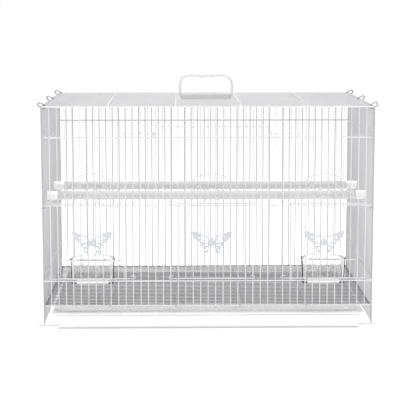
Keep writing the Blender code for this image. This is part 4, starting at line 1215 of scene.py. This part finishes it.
def stage():
    corners = ((-1, -1), (1, -1), (1, 1), (-1, 1))
    floor = Shape()
    floor.rings([[(x * FLOOR_HALF, y * FLOOR_HALF, z) for x, y in corners] for z in FLOOR_LEVELS])
    paper = bpy.data.materials.new("floor_paper")
    paper.use_nodes = True
    nodes, links = paper.node_tree.nodes, paper.node_tree.links
    shader = set_inputs(nodes["Principled BSDF"], PAPER)
    split = nodes.new("ShaderNodeSeparateXYZ")
    links.new(nodes.new("ShaderNodeTexCoord").outputs["Object"], split.inputs["Vector"])
    # painted shadow: the floor's emission falls to its low end inside the patches
    nearest = nodes.new("ShaderNodeMath")
    nearest.operation = "MINIMUM"
    for at, patch in enumerate(PAINTED_SHADOW_PATCHES):
        links.new(distance_outside(nodes, links, split, *patch), nearest.inputs[at])
    glow = set_inputs(nodes.new("ShaderNodeMapRange"), GLOW_WITH_PAINTED_SHADOW)
    links.new(nearest.outputs["Value"], glow.inputs["Value"])
    links.new(glow.outputs["Result"], shader.inputs["Emission Strength"])
    floor.made("floor", paper)


def light(name, location, target, width, height, energy):
    data = bpy.data.lights.new(name, "AREA")
    data.shape = "RECTANGLE"
    data.size = width
    data.size_y = height
    data.energy = energy
    lamp = bpy.data.objects.new(name, data)
    lamp.location = location
    lamp.rotation_euler = (Vector(target) - Vector(location)).to_track_quat("-Z", "Y").to_euler()
    bpy.context.scene.collection.objects.link(lamp)


def sky():
    world = bpy.data.worlds.new("studio")
    world.use_nodes = True
    bpy.context.scene.world = world
    nodes, links = world.node_tree.nodes, world.node_tree.links
    place = nodes.new("ShaderNodeTexCoord")
    split = nodes.new("ShaderNodeSeparateXYZ")
    ramp = nodes.new("ShaderNodeValToRGB")
    stops = ramp.color_ramp.elements
    stops.remove(stops[1])
    for at, shade in SKY_SHADES:
        stop = stops[0] if at == 0.0 else stops.new(at)
        stop.color = (shade, shade, shade, 1)
    links.new(place.outputs["Generated"], split.inputs["Vector"])
    links.new(split.outputs["Z"], ramp.inputs["Fac"])
    links.new(ramp.outputs["Color"], nodes["Background"].inputs["Color"])
    nodes["Background"].inputs["Strength"].default_value = 1.0


def camera():
    data = bpy.data.cameras.new("camera")
    data.sensor_width = CAMERA_SENSOR
    data.lens = CAMERA_LENS
    data.clip_end = CAMERA_REACH
    eye = bpy.data.objects.new("camera", data)
    eye.location = CAMERA_PLACE
    eye.rotation_euler = (math.pi / 2 - CAMERA_TILT, 0.0, CAMERA_TURN)
    bpy.context.scene.collection.objects.link(eye)
    bpy.context.scene.camera = eye


def build():
    made = surfaces()
    powder = made["powder_coat"]
    # this darker copy paints shade on the back wires, the front posts and the floor's cross bars
    rear_powder = made["rear_painted_shade_powder_coat"]
    front_posts(rear_powder)
    front_wires(made["front_painted_light_powder_coat"])
    back_wires(rear_powder)
    for side, sign in (("left", -1), ("right", 1)):
        side_wires(side, sign, powder)
        for end in ("front", "rear"):
            corner_clip(end, side, sign, powder)
        for place, number in TOP_CLIP_BARS.items():
            top_clip(side, sign, place, number, made["dark_clip_metal"])
        cup(side, made["clear_moulding"])
        cup_highlight_pad(side, made["highlight_pad_moulding"])
    # the top's cross bars take the painted highlight copy of the coat
    grate_wires("top", "top_panel", TOP_BAR_Z, TOP_RAIL_Z, powder, made["top_bar_painted_highlight_powder_coat"])
    # the floor grate's wires take the painted shade copy of the coat
    grate_painted_shade = made["grate_painted_shade_powder_coat"]
    grate_wires("floor", "floor_grate", FLOOR_BAR_Z, BASE_RAIL_Z, grate_painted_shade, rear_powder)
    foot_and_runner_wires(powder)
    for side in DOOR_CENTRES:
        door(side, made["door_painted_light_powder_coat"])
        butterfly(side, made["butterfly_enamel"])
    for place in PERCH_BARS:
        perch(place, made["perch_texture"], made["cap_moulding"])
    tray(made["tray_moulding"])
    handle_base(made["base_bar_painted_shade_moulding"])
    handle(made["handle_moulding"])


build()
stage()
sky()
for lamp in LIGHTS:
    light(*lamp)
camera()
bpy.context.scene.view_settings.view_transform = "Standard"
